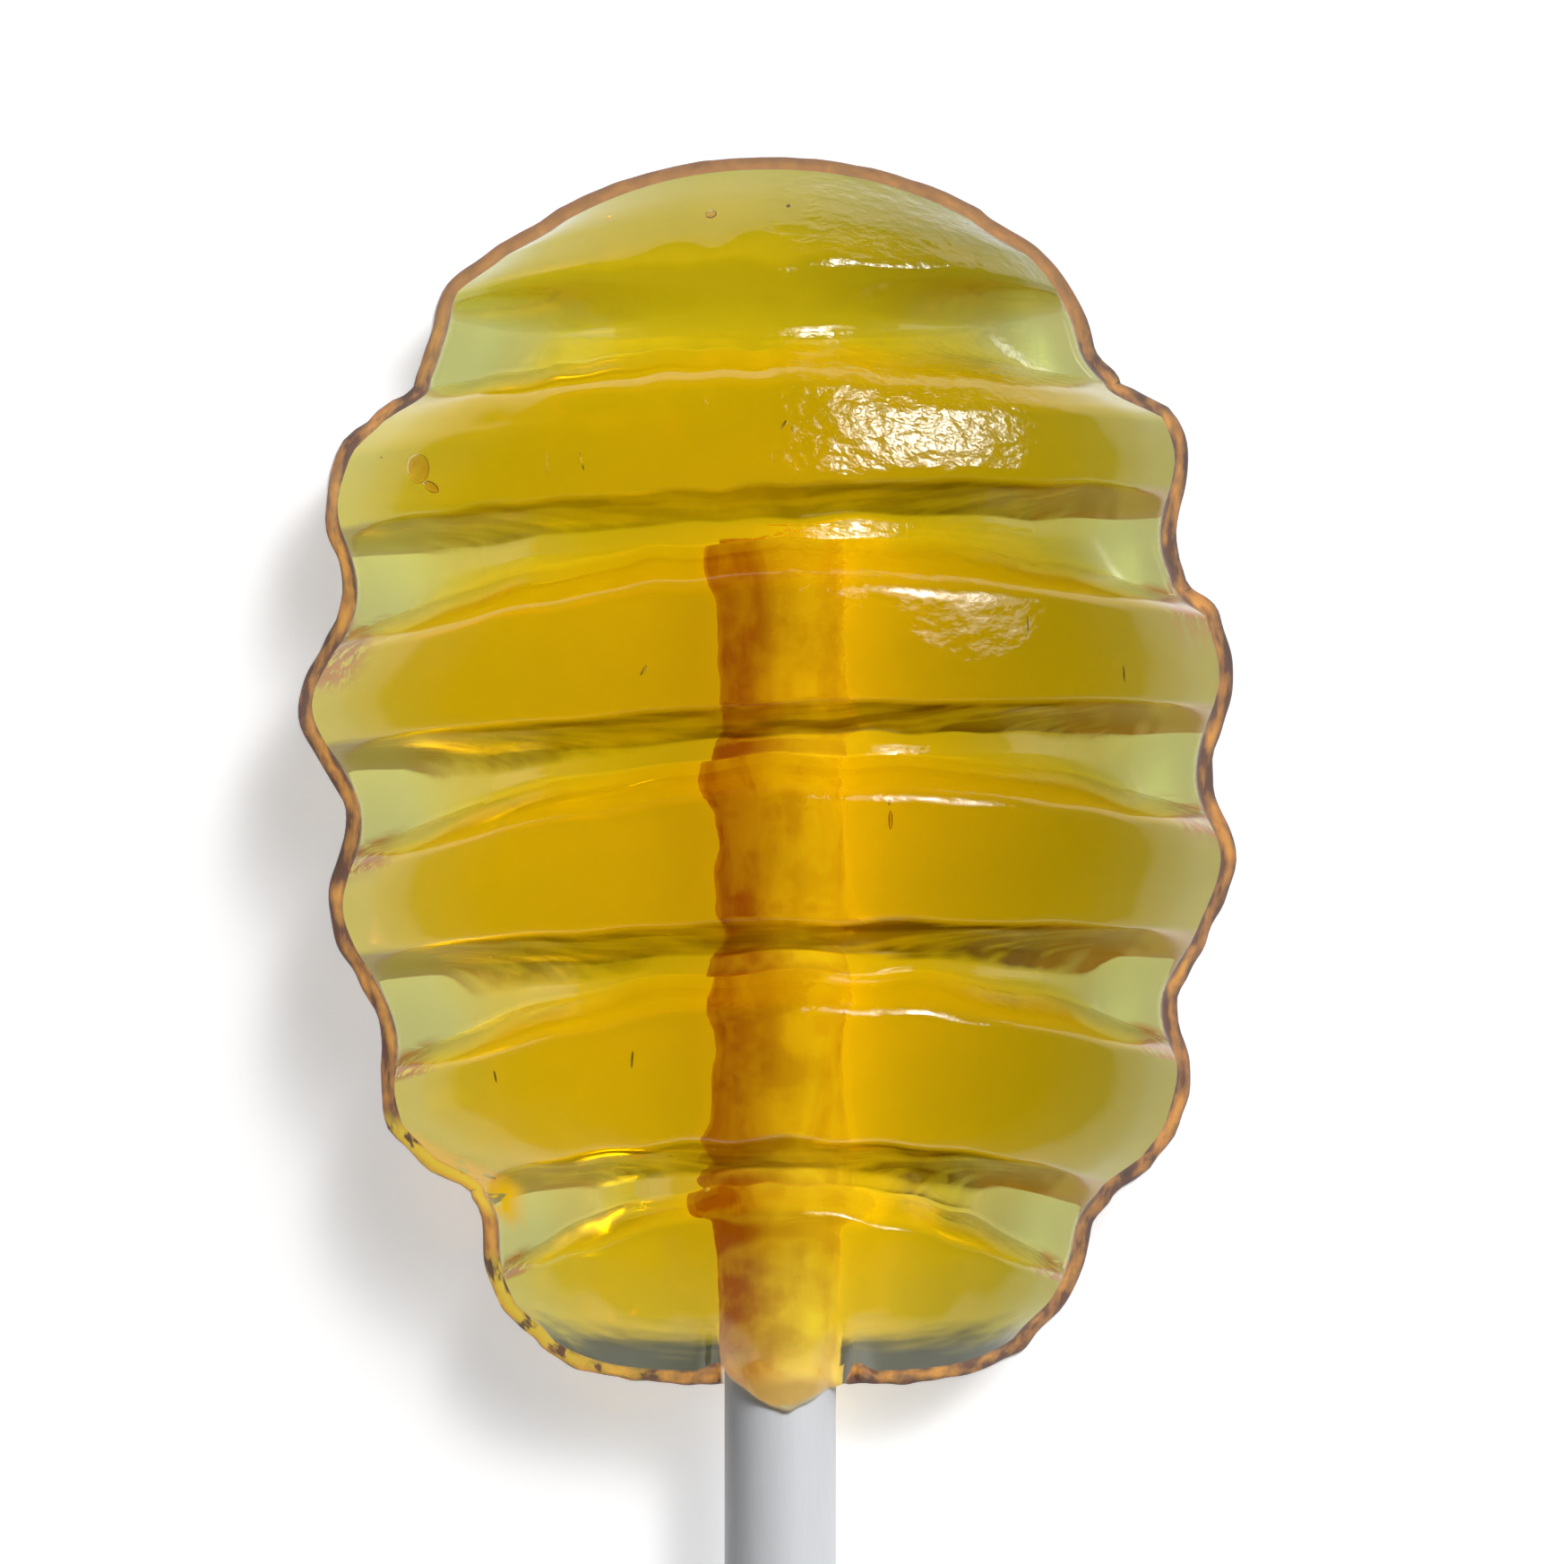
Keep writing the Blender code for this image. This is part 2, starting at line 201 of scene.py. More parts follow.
UNDERSIDE_HAZE = 0.10             # and the undersides
LEDGE_LIGHT = 0.6             # share of the shade that a ledge is spared
# painted gold light in the notch
NOTCH_GLINT = (-12.7, 8.1, 0.48)      # u and v where the notch's gold light starts, and how fast it falls
# painted shade along the bottom edge
LOW_SHADE_BAND = (2.7, 1.4, 2.15)   # v where the bottom's dark band starts, its softness, and u beside the stick
RAGGED = (0.035, 0.8, 81)     # unevenness of far, its length in millimetres and its seed

# Grains of the candy and the paper, as clouds of noise: size in millimetres and octaves, then their turn in
# degrees and stretch
CANDY_GRAINS = {
    "patches": (2.2, 1.0),
    "blotches": (1.2, 2.0),
    "drawn": (0.8, 2.0, 3, (0.2, 1.0, 1.0)),
    "strokes": (0.35, 2.0, -38, (0.16, 1.0, 1.0)),
    "mottles": (0.7, 3.0, 0, (1.0, 0.4, 1.0)),
    "folds": (0.5, 3.0, 20, (0.7, 1.0, 1.0))}
PAPER_GRAINS = {
    "fibres": (0.12, 2.0, 0, (1.0, 0.08, 1.0)),
    "streaks": (0.9, 3.0, 0, (1.0, 0.25, 1.0)),
    "mottles": (1.4, 3.0)}

# Where each detail starts and where it is full, in the noise or the millimetres that it goes by, and its
# values there if they aren't 0 and 1
SHOWS = {
    "underside_shade": (0.30, 0.66), "streaks": (0.30, 0.62), "patches": (0.25, 0.55, 0.75, 1.0), "ends": (0.0, 0.4),
    "flare": (0.36, 0.52), "feather": (0.38, 0.50), "outline": (0.34, 0.50), "gold": (0.36, 0.46),
    "seam": (0.0, 0.03, 1.0, 0.0), "right shade": (0.4, 1.9, 0.0, 0.5), "left shade": (-1.8, -0.6, 0.5, 0.0),
    "soaked streaks": (0.35, 0.7), "soaked mottles": (0.4, 0.65), "ring": (0.15, 0.75, 0.9, 0.0),
    "buried left shade": (-1.9, 1.3, 1.0, 0.0), "milky end": (0.4, 1.2, 0.9, 0.0), "milky line": (0.1, 0.4, 0.5, 0.0),
    "milky reach": (0.3, 0.9, 1.0, 0.0), "soaked": (0.0, 0.25)}
# the glinting stop is a painted glint
RIM_STOPS = (0.30, 0.44, 0.54, 0.66)  # mottling of the rim at which it is dark, brown, amber and glinting
RIM_EVEN = 0.53               # and where the rim is even
CRACKLE_DEPTH = 0.11          # millimetres

# Paper stick: its segments round, along and in its ends, and how it swells where candy soaks it
STICK_MESH = (72, 420, 4)
STICK_SHARP = 40              # degrees
SOAKED_FROM = 0.8             # v
SOAKING = 1.5                 # length over which the swelling starts
SWELLS = [(1.6, 2.0), (0.6, 1.0)]     # size and octaves of the long and the short swellings
SHORT_SHARE = 0.8             # strength of the short ones against the long ones
SWELL_SIDE = (-2.0 * MM, -0.6 * MM, 1.0, 0.25)        # they are strongest on the left side
SEAM_GROOVE = (0.0, 0.035, 1.0, 0.0)  # turns from the seam
RING_BOW = 0.12               # how much the dark rings bend across the stick
MILKY_SPOT = (1.3, 1.3)       # how far left of the axis it lies, and its v
FIBRE_DEPTH = 0.006           # millimetres

# Key light: its azimuth and elevation in degrees, and its lamps one in front of the other, brighter towards
# the middle, as distance, share of the power and size in metres
KEY_DIRECTION = (51, 44)
KEY_LAYERS = [(0.75, 0.30, (0.62, 0.44)), (0.74, 0.28, (0.44, 0.30)), (0.73, 0.26, (0.28, 0.19)),
              (0.72, 0.16, (0.14, 0.09))]

# View: the camera looks straight down on this place, and takes in this width of the floor
VIEW_CENTRE = (0.13, 21.68)
VIEW_WIDTH = 56.45
SENSOR = 36.0
FLOOR_SHADE = 0.985           # of the floor's tone, in its faint patches
NORTH_FADE = (0.3, 0.9)       # northward part of a direction in the sky over which its light fades


class Wire:
    """One output socket of a node. Sums and products of wires add Math nodes to the wire's tree."""

    def __init__(self, graph, socket):
        self.graph = graph
        self.socket = socket

    def maths(self, operation, *terms):
        return self.graph.node("ShaderNodeMath", {"operation": operation}, dict(enumerate(terms)))

    def __add__(self, other):
        return self.maths("ADD", self, other)

    def __radd__(self, other):
        return self.maths("ADD", other, self)

    def __sub__(self, other):
        return self.maths("SUBTRACT", self, other)

    def __rsub__(self, other):
        return self.maths("SUBTRACT", other, self)

    def __mul__(self, other):
        return self.maths("MULTIPLY", self, other)

    def __rmul__(self, other):
        return self.maths("MULTIPLY", other, self)

    def __truediv__(self, other):
        return self.maths("DIVIDE", self, other)

    def __pow__(self, other):
        return self.maths("POWER", self, other)

    def fraction(self):
        return self.maths("FRACT", self)

    def size(self):
        return self.maths("ABSOLUTE", self)

    def most(self, other):
        return self.maths("MAXIMUM", self, other)

    def angle_to(self, other):
        return self.maths("ARCTAN2", self, other)

    def between(self, low, high, start=0.0, end=1.0):
        """Smooth passage from start to end as this value goes from low to high."""
        values = {"Value": self, "From Min": low, "From Max": high, "To Min": start, "To Max": end}
        return self.graph.node("ShaderNodeMapRange", {"interpolation_type": "SMOOTHSTEP"}, values)

    def shown(self, name):
        """How much of the named detail there is."""
        return self.between(*SHOWS[name])


class Graph:
    """A node tree that is being put together."""

    def __init__(self, tree):
        self.tree = tree

    def feed(self, node, inputs):
        """Sets a node's sockets, by name or number, to values or to wires. Plain colours become opaque."""
        for name, value in inputs.items():
            socket = node.inputs[name]
            if isinstance(value, Wire):
                self.tree.links.new(value.socket, socket)
            else:
                socket.default_value = (*value, 1) if socket.type == "RGBA" else value

    def node(self, kind, settings=None, inputs=None, output=0):
        """Adds a node of this kind: first its settings, then its sockets. Gives one of its outputs."""
        made = self.tree.nodes.new(kind)
        for name, value in (settings or {}).items():
            if name == "stops":
                for stop, (place, color) in enumerate(value):
                    elements = made.color_ramp.elements
                    element = elements[stop] if stop < len(elements) else elements.new(place)
                    element.position = place
                    element.color = (*color, 1.0)
            else:
                setattr(made, name, value)
        self.feed(made, inputs or {})
        return Wire(self, made.outputs[output])

    def mix(self, share, first, second):
        """Colour that goes from first to second."""
        settings = {"data_type": "RGBA"}
        return self.node("ShaderNodeMix", settings, {0: share, 6: first, 7: second}, output=2)

    def tint(self, first, second):
        """Product of two colours."""
        settings = {"data_type": "RGBA", "blend_type": "MULTIPLY"}
        return self.node("ShaderNodeMix", settings, {0: 1.0, 6: first, 7: second}, output=2)

    def place(self):
        """Place on the piece, in metres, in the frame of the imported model."""
        return self.node("ShaderNodeTexCoord", output="Object")

    def split(self, vector):
        parts = self.node("ShaderNodeSeparateXYZ", None, {0: vector}).socket.node
        return [Wire(self, socket) for socket in parts.outputs]

    def turned(self, vector, angle, scale):
        """Vector turned about the vertical by an angle in degrees and then scaled along each axis."""
        values = {"Vector": vector, "Rotation": (0, 0, math.radians(angle)), "Scale": scale}
        return self.node("ShaderNodeMapping", {"vector_type": "POINT"}, values)

    def cloud(self, vector, length, detail=2.0):
        """Soft noise from 0 to 1, with patches about length metres across."""
        values = {"Vector": vector, "Scale": 1.0 / length, "Detail": detail}
        return self.node("ShaderNodeTexNoise", {"noise_dimensions": "3D"}, values)

    def mark(self, name, part="Fac"):
        """The piece's own attribute of this name."""
        return self.node("ShaderNodeAttribute", {"attribute_name": name}, output=part)

    def bump(self, height_in_mm):
        return self.node("ShaderNodeBump", None, {"Height": height_in_mm, "Strength": 1.0, "Distance": MM})


def new_material(name, roughness, **constants):
    """A material with its shader's constant sockets set, and the graph that the rest is drawn in."""
    made = bpy.data.materials.new(name)
    made.use_nodes = True
    surface = made.node_tree.nodes["Principled BSDF"]
    graph = Graph(made.node_tree)
    graph.feed(surface, {"Roughness": roughness})
    graph.feed(surface, {key.replace("_", " "): value for key, value in constants.items()})
    return made, graph, surface


def ripple(u, v, length, seed):
    """Smooth uneven relief between about -1 and 1, with bumps about length millimetres apart."""
    draws = np.random.default_rng(seed)
    waves = 7
    total = 0.0
    for _ in range(waves):
        turn, phase = draws.uniform(0, 2 * math.pi, 2)
        spread = length * draws.uniform(0.7, 1.6)
        total = total + np.sin(2 * math.pi * (u * math.cos(turn) + v * math.sin(turn)) / spread + phase)
    return total / math.sqrt(2 * waves)


def smooth_step(low, high, x):
    w = np.clip((x - low) / (high - low), 0, 1)
    return w * w * (3 - 2 * w)


def passage(x, low, high, start=0.0, end=1.0):
    """Smooth passage from start to end as x goes from low to high."""
    return start + (end - start) * smooth_step(low, high, x)


def blend(share, first, second):
    """Colours that go from first to second, one for each share."""
    return np.asarray(first) + share[:, None] * (np.asarray(second) - np.asarray(first))


def smooth_line(stations, x):
    """Height at x of a smooth curve through the stations, level at every peak and dip."""
    xs, ys = np.array(stations, dtype=float).T
    slopes = np.diff(ys) / np.diff(xs)
    tangents = np.zeros(len(xs))
    tangents[0], tangents[-1] = slopes[0], slopes[-1]
    for i in range(1, len(xs) - 1):
        if slopes[i - 1] * slopes[i] > 0:
            tangents[i] = 2 / (1 / slopes[i - 1] + 1 / slopes[i])
    i = int(np.clip(np.searchsorted(xs, x) - 1, 0, len(slopes) - 1))
    span = xs[i + 1] - xs[i]
    w = (x - xs[i]) / span
    return (ys[i] * (1 + 2 * w) * (1 - w) ** 2 + ys[i + 1] * w * w * (3 - 2 * w)
            + span * (tangents[i] * w * (1 - w) ** 2 - tangents[i + 1] * w * w * (1 - w)))


def inner_edge(side, v, rim_width):
    """Where the front face starts at height v: the silhouette moved in by the rim, square to itself."""
    u = smooth_line(side, v)
    step = 0.05
    lean = (smooth_line(side, v + step) - smooth_line(side, v - step)) / (2 * step)
    return u - math.copysign(rim_width * math.hypot(1, lean), u)


def bowed(left, middle, right, power, s):
    """v of a line that runs from the left end over a bowed middle to the right end, at s from -1 to 1."""
    straight = left + (right - left) * (1 + s) / 2
    return straight + (middle - (left + right) / 2) * (1 - np.abs(s) ** power)


def groove_line(groove, part, s):
    """v of a line along a groove: brow and toe of the step below it, heel and lip of the underside above."""
    (left, middle, right), _, at_middle, at_ends = groove
    half_floor, underside, step = (
        middle_width + (end_width - middle_width) * np.abs(s) ** ENDS_WIDEN
        for middle_width, end_width in zip(at_middle, at_ends))
    offset = {
        "brow": -half_floor - step, "toe": -half_floor, "heel": half_floor, "lip": half_floor + underside}
    return bowed(left, middle, right, GROOVE_BOW, s) + offset[part]


def feature_lines(s, settings):
    """v of every line across the head from the bottom edge up, each a little uneven as poured candy is."""
    bottom_left, bottom, bottom_right, bottom_bow = BOTTOM_EDGE
    top_left, top, top_right, top_bow = TOP_EDGE
    rim = settings.rim_width / MM
    lines = [bowed(bottom_left, bottom + rim, bottom_right, bottom_bow, s)]
    for number, groove in enumerate(GROOVES):
        for seed, part in enumerate(("brow", "toe", "heel", "lip")):
            waver = ripple(s * HEAD_LENGTH / 3, 0 * s, WAVER_LENGTH, 10 * number + seed)
            lines.append(groove_line(groove, part, s) + settings.waver / MM * waver * (1 - s ** 4))
    lines.append(bowed(top_left, top - rim, top_right, top_bow, s))
    return lines


Row = namedtuple("Row", "line share relief groove")


def feature_rows():
    """Rows of the mesh: the line below, the share of the way to the next line, how much of the ridge's
    height it has, and its groove."""
    rows = []

    def add(part, line, share, relief, groove, closed=False):
        for i in range(ROWS[part] + (1 if closed else 0)):
            w = i / ROWS[part]
            rows.append(Row(line, share(w), relief(w), groove))

    add("bottom", 0, lambda w: 1 - math.cos(w * math.pi / 2), lambda w: 1.0, GROOVES[0])
    for number, groove in enumerate(GROOVES):
        brow = 1 + 4 * number
        add("step", brow, lambda w: w, lambda w: 1 - w ** STEP_ROUND, groove)
        add("floor", brow + 1, lambda w: w, lambda w: 0.0, groove)
        add("underside", brow + 2, lambda w: w, lambda w: 0.5 - 0.5 * math.cos(math.pi * w), groove)
        if groove is not GROOVES[-1]:
            add("ridge", brow + 3, lambda w: w, lambda w: 1.0, groove)
    add("dome", brow + 3, lambda w: math.sin(w * math.pi / 2), lambda w: 1.0, groove, closed=True)
    return rows


def arch(x, cut, power=0.5):
    """Height of a round arch at x from -1 to 1, with straight flanks past the cut."""
    x = np.abs(x)
    flank = (1 - cut * cut) ** power
    fall = 2 * power * cut * flank / (1 - cut * cut)
    return np.where(x < cut, np.maximum(0, 1 - x * x) ** power, flank - (x - cut) * fall)


def front_row(row, lines, s, settings):
    """Points along one row of the front face: s runs from -1 at its left edge to 1 at its right edge."""
    v = lines[row.line] * (1 - row.share) + lines[row.line + 1] * row.share
    rim = settings.rim_width / MM
    left, right = inner_edge(LEFT_SIDE, v[0], rim), inner_edge(RIGHT_SIDE, v[-1], rim)
    u = left + (right - left) * (1 + s) / 2
    reach = HEAD_LENGTH / 2 - rim
    along = min(1.0, abs(v[len(v) // 2] - HEAD_LENGTH / 2) / reach)
    crest = settings.dome_height / MM * arch(along, LENGTH_FLANK)
    over_ridge = RIDGE_EDGE_Z + crest * arch(s, WIDTH_FLANK)
    ledge = s / (1 - 2 * SHELF_WIDTH / (right - left))
    from_edge = np.minimum(1.0, (1 - np.abs(s)) * (right - left) / 2 / LEDGE_ROUND)
    brim = LEDGE_ROUND * (1 - np.sqrt(np.maximum(0, 1 - (1 - from_edge) ** 2)))
    lift = max(0.0, crest - row.groove[1]) * arch(ledge, SHELF_FLANK, SHELF_ROUND)
    over_groove = GROOVE_EDGE_Z - brim + (lift + np.sqrt(lift * lift + SHELF_BLEND ** 2)) / 2
    z = over_groove + (over_ridge - over_groove) * row.relief
    steepness = np.sqrt(np.maximum(0, 1 - s * s)) * math.sqrt(1 - along * along)
    slow = ripple(u, v, *WAVES) * settings.wave_depth / MM
    quick = ripple(u, v, *PUCKERS) * settings.pucker_depth / MM
    return np.stack([u, v, z + (slow + quick) * np.minimum(1, 2.5 * steepness)], axis=1)


def lip_edge(u):
    """v of the lip's edge on the stick at u."""
    start, end, tip = LIP_TIP
    rise = LIP_SLOPES[0] * np.maximum(0, start - u) + LIP_SLOPES[1] * np.maximum(0, u - end)
    return tip + rise + LIP_EDGE_RIPPLE * ripple(u, 0 * u, 1.1, 5)


def draw_lip(points, edge_v):
    """Draws the lower edge of the front down over the stick, with a small notch on either side."""
    u, v, z = points[..., 0], points[..., 1], points[..., 2]
    low, high = LIP_SIDES
    outer, inner = LIP_SOFT
    inside = smooth_step(low - outer, low + inner, u) * (1 - smooth_step(high - inner, high + outer, u))
    notch = (smooth_step(low - 2 * NOTCH_BLEND, low - outer, u)
             * (1 - smooth_step(high + outer, high + 2 * NOTCH_BLEND, u)))
    wanted = edge_v + NOTCH_DEPTH * notch
    wanted = wanted + (lip_edge(u) - wanted) * inside
    fade = np.clip(1 - (v - edge_v) / LIP_REACH, 0, 1) ** 2
    moved = v + (wanted - edge_v) * fade
    run = np.clip((moved - wanted) / LIP_BEAD_RUN, 0, 1)
    film = LIP_FILM + (LIP_BEAD - LIP_FILM) * np.sqrt(1 - (1 - run) ** 2)
    film = film + LIP_FILM_RIPPLE * ripple(u, v, 0.9, 9)
    stick_top = STICK_AXIS_Z + np.sqrt(np.maximum(0, STICK_RADIUS ** 2 - u * u))
    lifted = np.where(fade > 0, np.maximum(z, stick_top + film), z)
    points[..., 1] = moved
    points[..., 2] = z + (lifted - z) * np.clip(inside * LIP_LIFT, 0, 1)


def border(points):
    """Places of the front's border vertices in the grid, once round, anticlockwise as seen from the front."""
    rows, columns = points.shape[:2]
    return ([(0, i) for i in range(columns)] + [(j, columns - 1) for j in range(1, rows)]
            + [(rows - 1, i) for i in range(columns - 2, -1, -1)] + [(j, 0) for j in range(rows - 2, 0, -1)])


def wall_rings(edge, plain_edge, settings):
    """Rings of the side wall from the front's border down to the flat back."""
    along = np.roll(plain_edge, -1, axis=0) - np.roll(plain_edge, 1, axis=0)
    out = np.stack([along[:, 1], -along[:, 0]], axis=1)
    out /= np.linalg.norm(out, axis=1)[:, None]
    uneven = sum(share * ripple(edge[:, 0], edge[:, 1], *wave) for share, *wave in RIM_RIPPLES)
    uneven = 1 + uneven * passage(edge[:, 1], *RIM_CALM)
    foot = plain_edge[:, :2] + out * (settings.rim_width / MM * uneven)[:, None]
    flange_z = np.minimum(FLANGE_HEIGHT, FLANGE_SHARE * edge[:, 2])
    rings = []
    for part, top, drop in ((CLIFF, edge[:, 2], edge[:, 2] - flange_z), (FLANGE, flange_z, flange_z)):
        for down, outward, _ in part:
            level = edge[:, :2] + (foot - edge[:, :2]) * outward
            rings.append(np.column_stack([level, top - drop * down]))
    return rings


def grid_faces(rows, columns):
    corner = np.arange((rows - 1) * columns).reshape(rows - 1, columns)[:, :-1].ravel()
    return np.stack([corner, corner + 1, corner + 1 + columns, corner + columns], axis=1).tolist()


def slope_north(points):
    """How far the front leans towards the top of the head at each point, from -1 to 1."""
    normals = np.cross(np.gradient(points, axis=1), np.gradient(points, axis=0))
    return normals[..., 1] / np.maximum(1e-9, np.linalg.norm(normals, axis=2))


Spots = namedtuple("Spots", "u v front side far ragged lean groove rim out glint")


def head_spots(points, rings, s, relief):
    """What the finish goes by at every vertex of the head: those of its front and then those of its wall."""
    count = len(rings[0])
    u, v, _ = np.concatenate([points.reshape(-1, 3), *rings]).T

    def over_all(over_front, over_wall):
        return np.concatenate([over_front.ravel(), np.repeat(over_wall, count)])

    wall = CLIFF + FLANGE
    bare = [0.0] * len(wall)
    flat = np.zeros(points.shape[:2])
    side = over_all(s + flat, bare)
    depth, length, seed = RAGGED
    start_u, start_v, fall = NOTCH_GLINT
    return Spots(
        u=u, v=v, front=over_all(flat + 1, bare), side=side, far=np.abs(side),
        ragged=np.abs(side) + depth * ripple(u, v, length, seed), lean=over_all(slope_north(points), bare),
        groove=over_all(1 - relief + flat, bare), rim=over_all(flat, [part for _, _, part in wall]),
        out=over_all(flat, [outward for _, outward, _ in wall]),
        glint=np.abs(v - start_v + fall * (u - start_u)))


def zone(spots, name):
    """How much of the named zone there is at every vertex."""
    share = 1.0
    for measure, *ends in ZONES[name]:
        share = share * passage(getattr(spots, measure), *ends)
    return share


def surface_tone(spots, settings):
    """Tone of the front without its grain: ridges, ledges, painted light on steps, painted shade right and
    top.
    """
    ledge = spots.groove * zone(spots, "ledge")
    end = zone(spots, "end") * (1 - ledge)
    shade = (zone(spots, "right shade") + zone(spots, "top shade")) * spots.front * (1 - LEDGE_LIGHT * ledge)
    tone = blend(zone(spots, "step"), settings.surface_color, settings.step_light_color)
    tone = blend(ledge, tone, settings.ledge_color) * ((1 - shade) ** 2)[:, None]
    tone = tone * blend(end, WHITE, settings.end_color)
    return tone * blend(zone(spots, "dome shade"), WHITE, settings.top_shade_color)


def underside_shade_tone(spots, settings):
    """Painted shade of the undersides: olive brown, with a warmer tip and a corner of its own at each end."""
    right = spots.side > 0
    tone = blend(zone(spots, "tip"), settings.underside_shade_color, settings.tip_color)
    corner = np.where(right, zone(spots, "wedge"), zone(spots, "slate"))
    return blend(corner, tone, np.where(right[:, None], settings.wedge_color, settings.slate_color))


def finish_marks(spots, settings):
    """Attributes that the candy's finish reads: where on the head each tone, grain, painted light and shade
    shows.
    """
    band_v, softness, beside = LOW_SHADE_BAND
    low = np.clip((band_v - spots.v) / softness, -1.0, 1.5)
    # painted gold light
    gold = np.maximum(zone(spots, "notch gold") * np.maximum(spots.front, spots.rim),
                      zone(spots, "edge gold") * spots.rim)
    return {
        "tone": surface_tone(spots, settings),
        # brown holds the painted shade of the undersides
        "brown": underside_shade_tone(spots, settings),
        "lean": spots.lean,
        "rim": spots.rim,
        "underside_shade_limit": zone(spots, "underside_shade"),
        "underside_shade_ends": np.maximum(zone(spots, "right end"), zone(spots, "left end")),
        "underside_shade_flare": zone(spots, "flare"),
        "low": np.where((spots.front > 0) & (np.abs(spots.u) > beside), low, -1.0),
        "outline": spots.rim * np.maximum(zone(spots, "outer line"), zone(spots, "inner line")),
        "even": zone(spots, "even"),
        "gold": gold,
        "feather": zone(spots, "feather"),
        "crackle": zone(spots, "crackle"),
        "haze": (CLEAR_HAZE + RIM_HAZE * spots.rim + zone(spots, "flank haze")
                 + spots.groove * zone(spots, "ledge haze"))}


def put(name, data):
    """A new object with this data, in the scene."""
    made = bpy.data.objects.new(name, data)
    bpy.context.scene.collection.objects.link(made)
    return made


def build_head(settings):
    """The candy: the ribbed front as one fine grid, its border drawn down to the flat back."""
    s = np.sin(np.linspace(-0.5, 0.5, COLUMNS + 1) * math.pi)
    lines, rows = feature_lines(s, settings), feature_rows()
    points = np.array([front_row(row, lines, s, settings) for row in rows])
    loop = border(points)
    plain_edge = np.array([points[place] for place in loop])
    draw_lip(points, lines[0][None, :])
    edge = np.array([points[place] for place in loop])
    rings = wall_rings(edge, plain_edge, settings)

    columns = COLUMNS + 1
    faces = grid_faces(len(rows), columns)
    above = [j * columns + i for j, i in loop]
    count = len(loop)
    for number in range(len(rings)):
        below = [len(rows) * columns + number * count + k for k in range(count)]
        faces += [(above[(k + 1) % count], above[k], below[k], below[(k + 1) % count]) for k in range(count)]
        above = below
    faces.append(tuple(reversed(above)))
    places = np.concatenate([points.reshape(-1, 3), *rings]) * MM + (MOULD_X, MOULD_Y, 0)
    mesh = bpy.data.meshes.new("candy")
    mesh.from_pydata(places.tolist(), [], faces)

    on_stick = (np.abs(points[..., 0]) < STICK_RADIUS) * (1 - smooth_step(*LIP_FADE, points[..., 1]))
    over_lip = np.array([on_stick[place] for place in loop])
    on_wall = [(1 - over_lip) * part for _, _, part in CLIFF + FLANGE]
    front = np.concatenate([(1 - on_stick).ravel(), *on_wall])
    spots = head_spots(points, rings, s, np.array([row.relief for row in rows])[:, None])
    for name, values in {**finish_marks(spots, settings), "front": front}.items():
        kind, field = ("FLOAT", "value") if values.ndim == 1 else ("FLOAT_VECTOR", "vector")
        layer = mesh.attributes.new(name, kind, "POINT")
        layer.data.foreach_set(field, values.astype(np.float32).ravel())
    mesh.shade_smooth()
    mesh.polygons[-1].use_smooth = False
    mesh.set_sharp_from_angle(angle=math.radians(settings.sharp_angle))
    return put("candy", mesh)


def grain(graph, place, size, octaves, *turned):
    return graph.cloud(graph.turned(place, *turned) if turned else place, size * MM, octaves)


def rim_tone(graph, blotches, mottles, outline, settings):
    """Mottled amber of the side wall, with painted shade along both its edges, painted glints, and even over
    the dome.
    """
    mottling = 0.40 * blotches + 0.60 * mottles + 0.02 - 0.16 * outline
    mottling = mottling + (RIM_EVEN - mottling) * graph.mark("even")
    colors = (settings.rim_dark_color, settings.rim_brown_color, settings.rim_color, settings.rim_glint_color)
    return graph.node("ShaderNodeValToRGB", {"stops": list(zip(RIM_STOPS, colors))}, {"Fac": mottling})


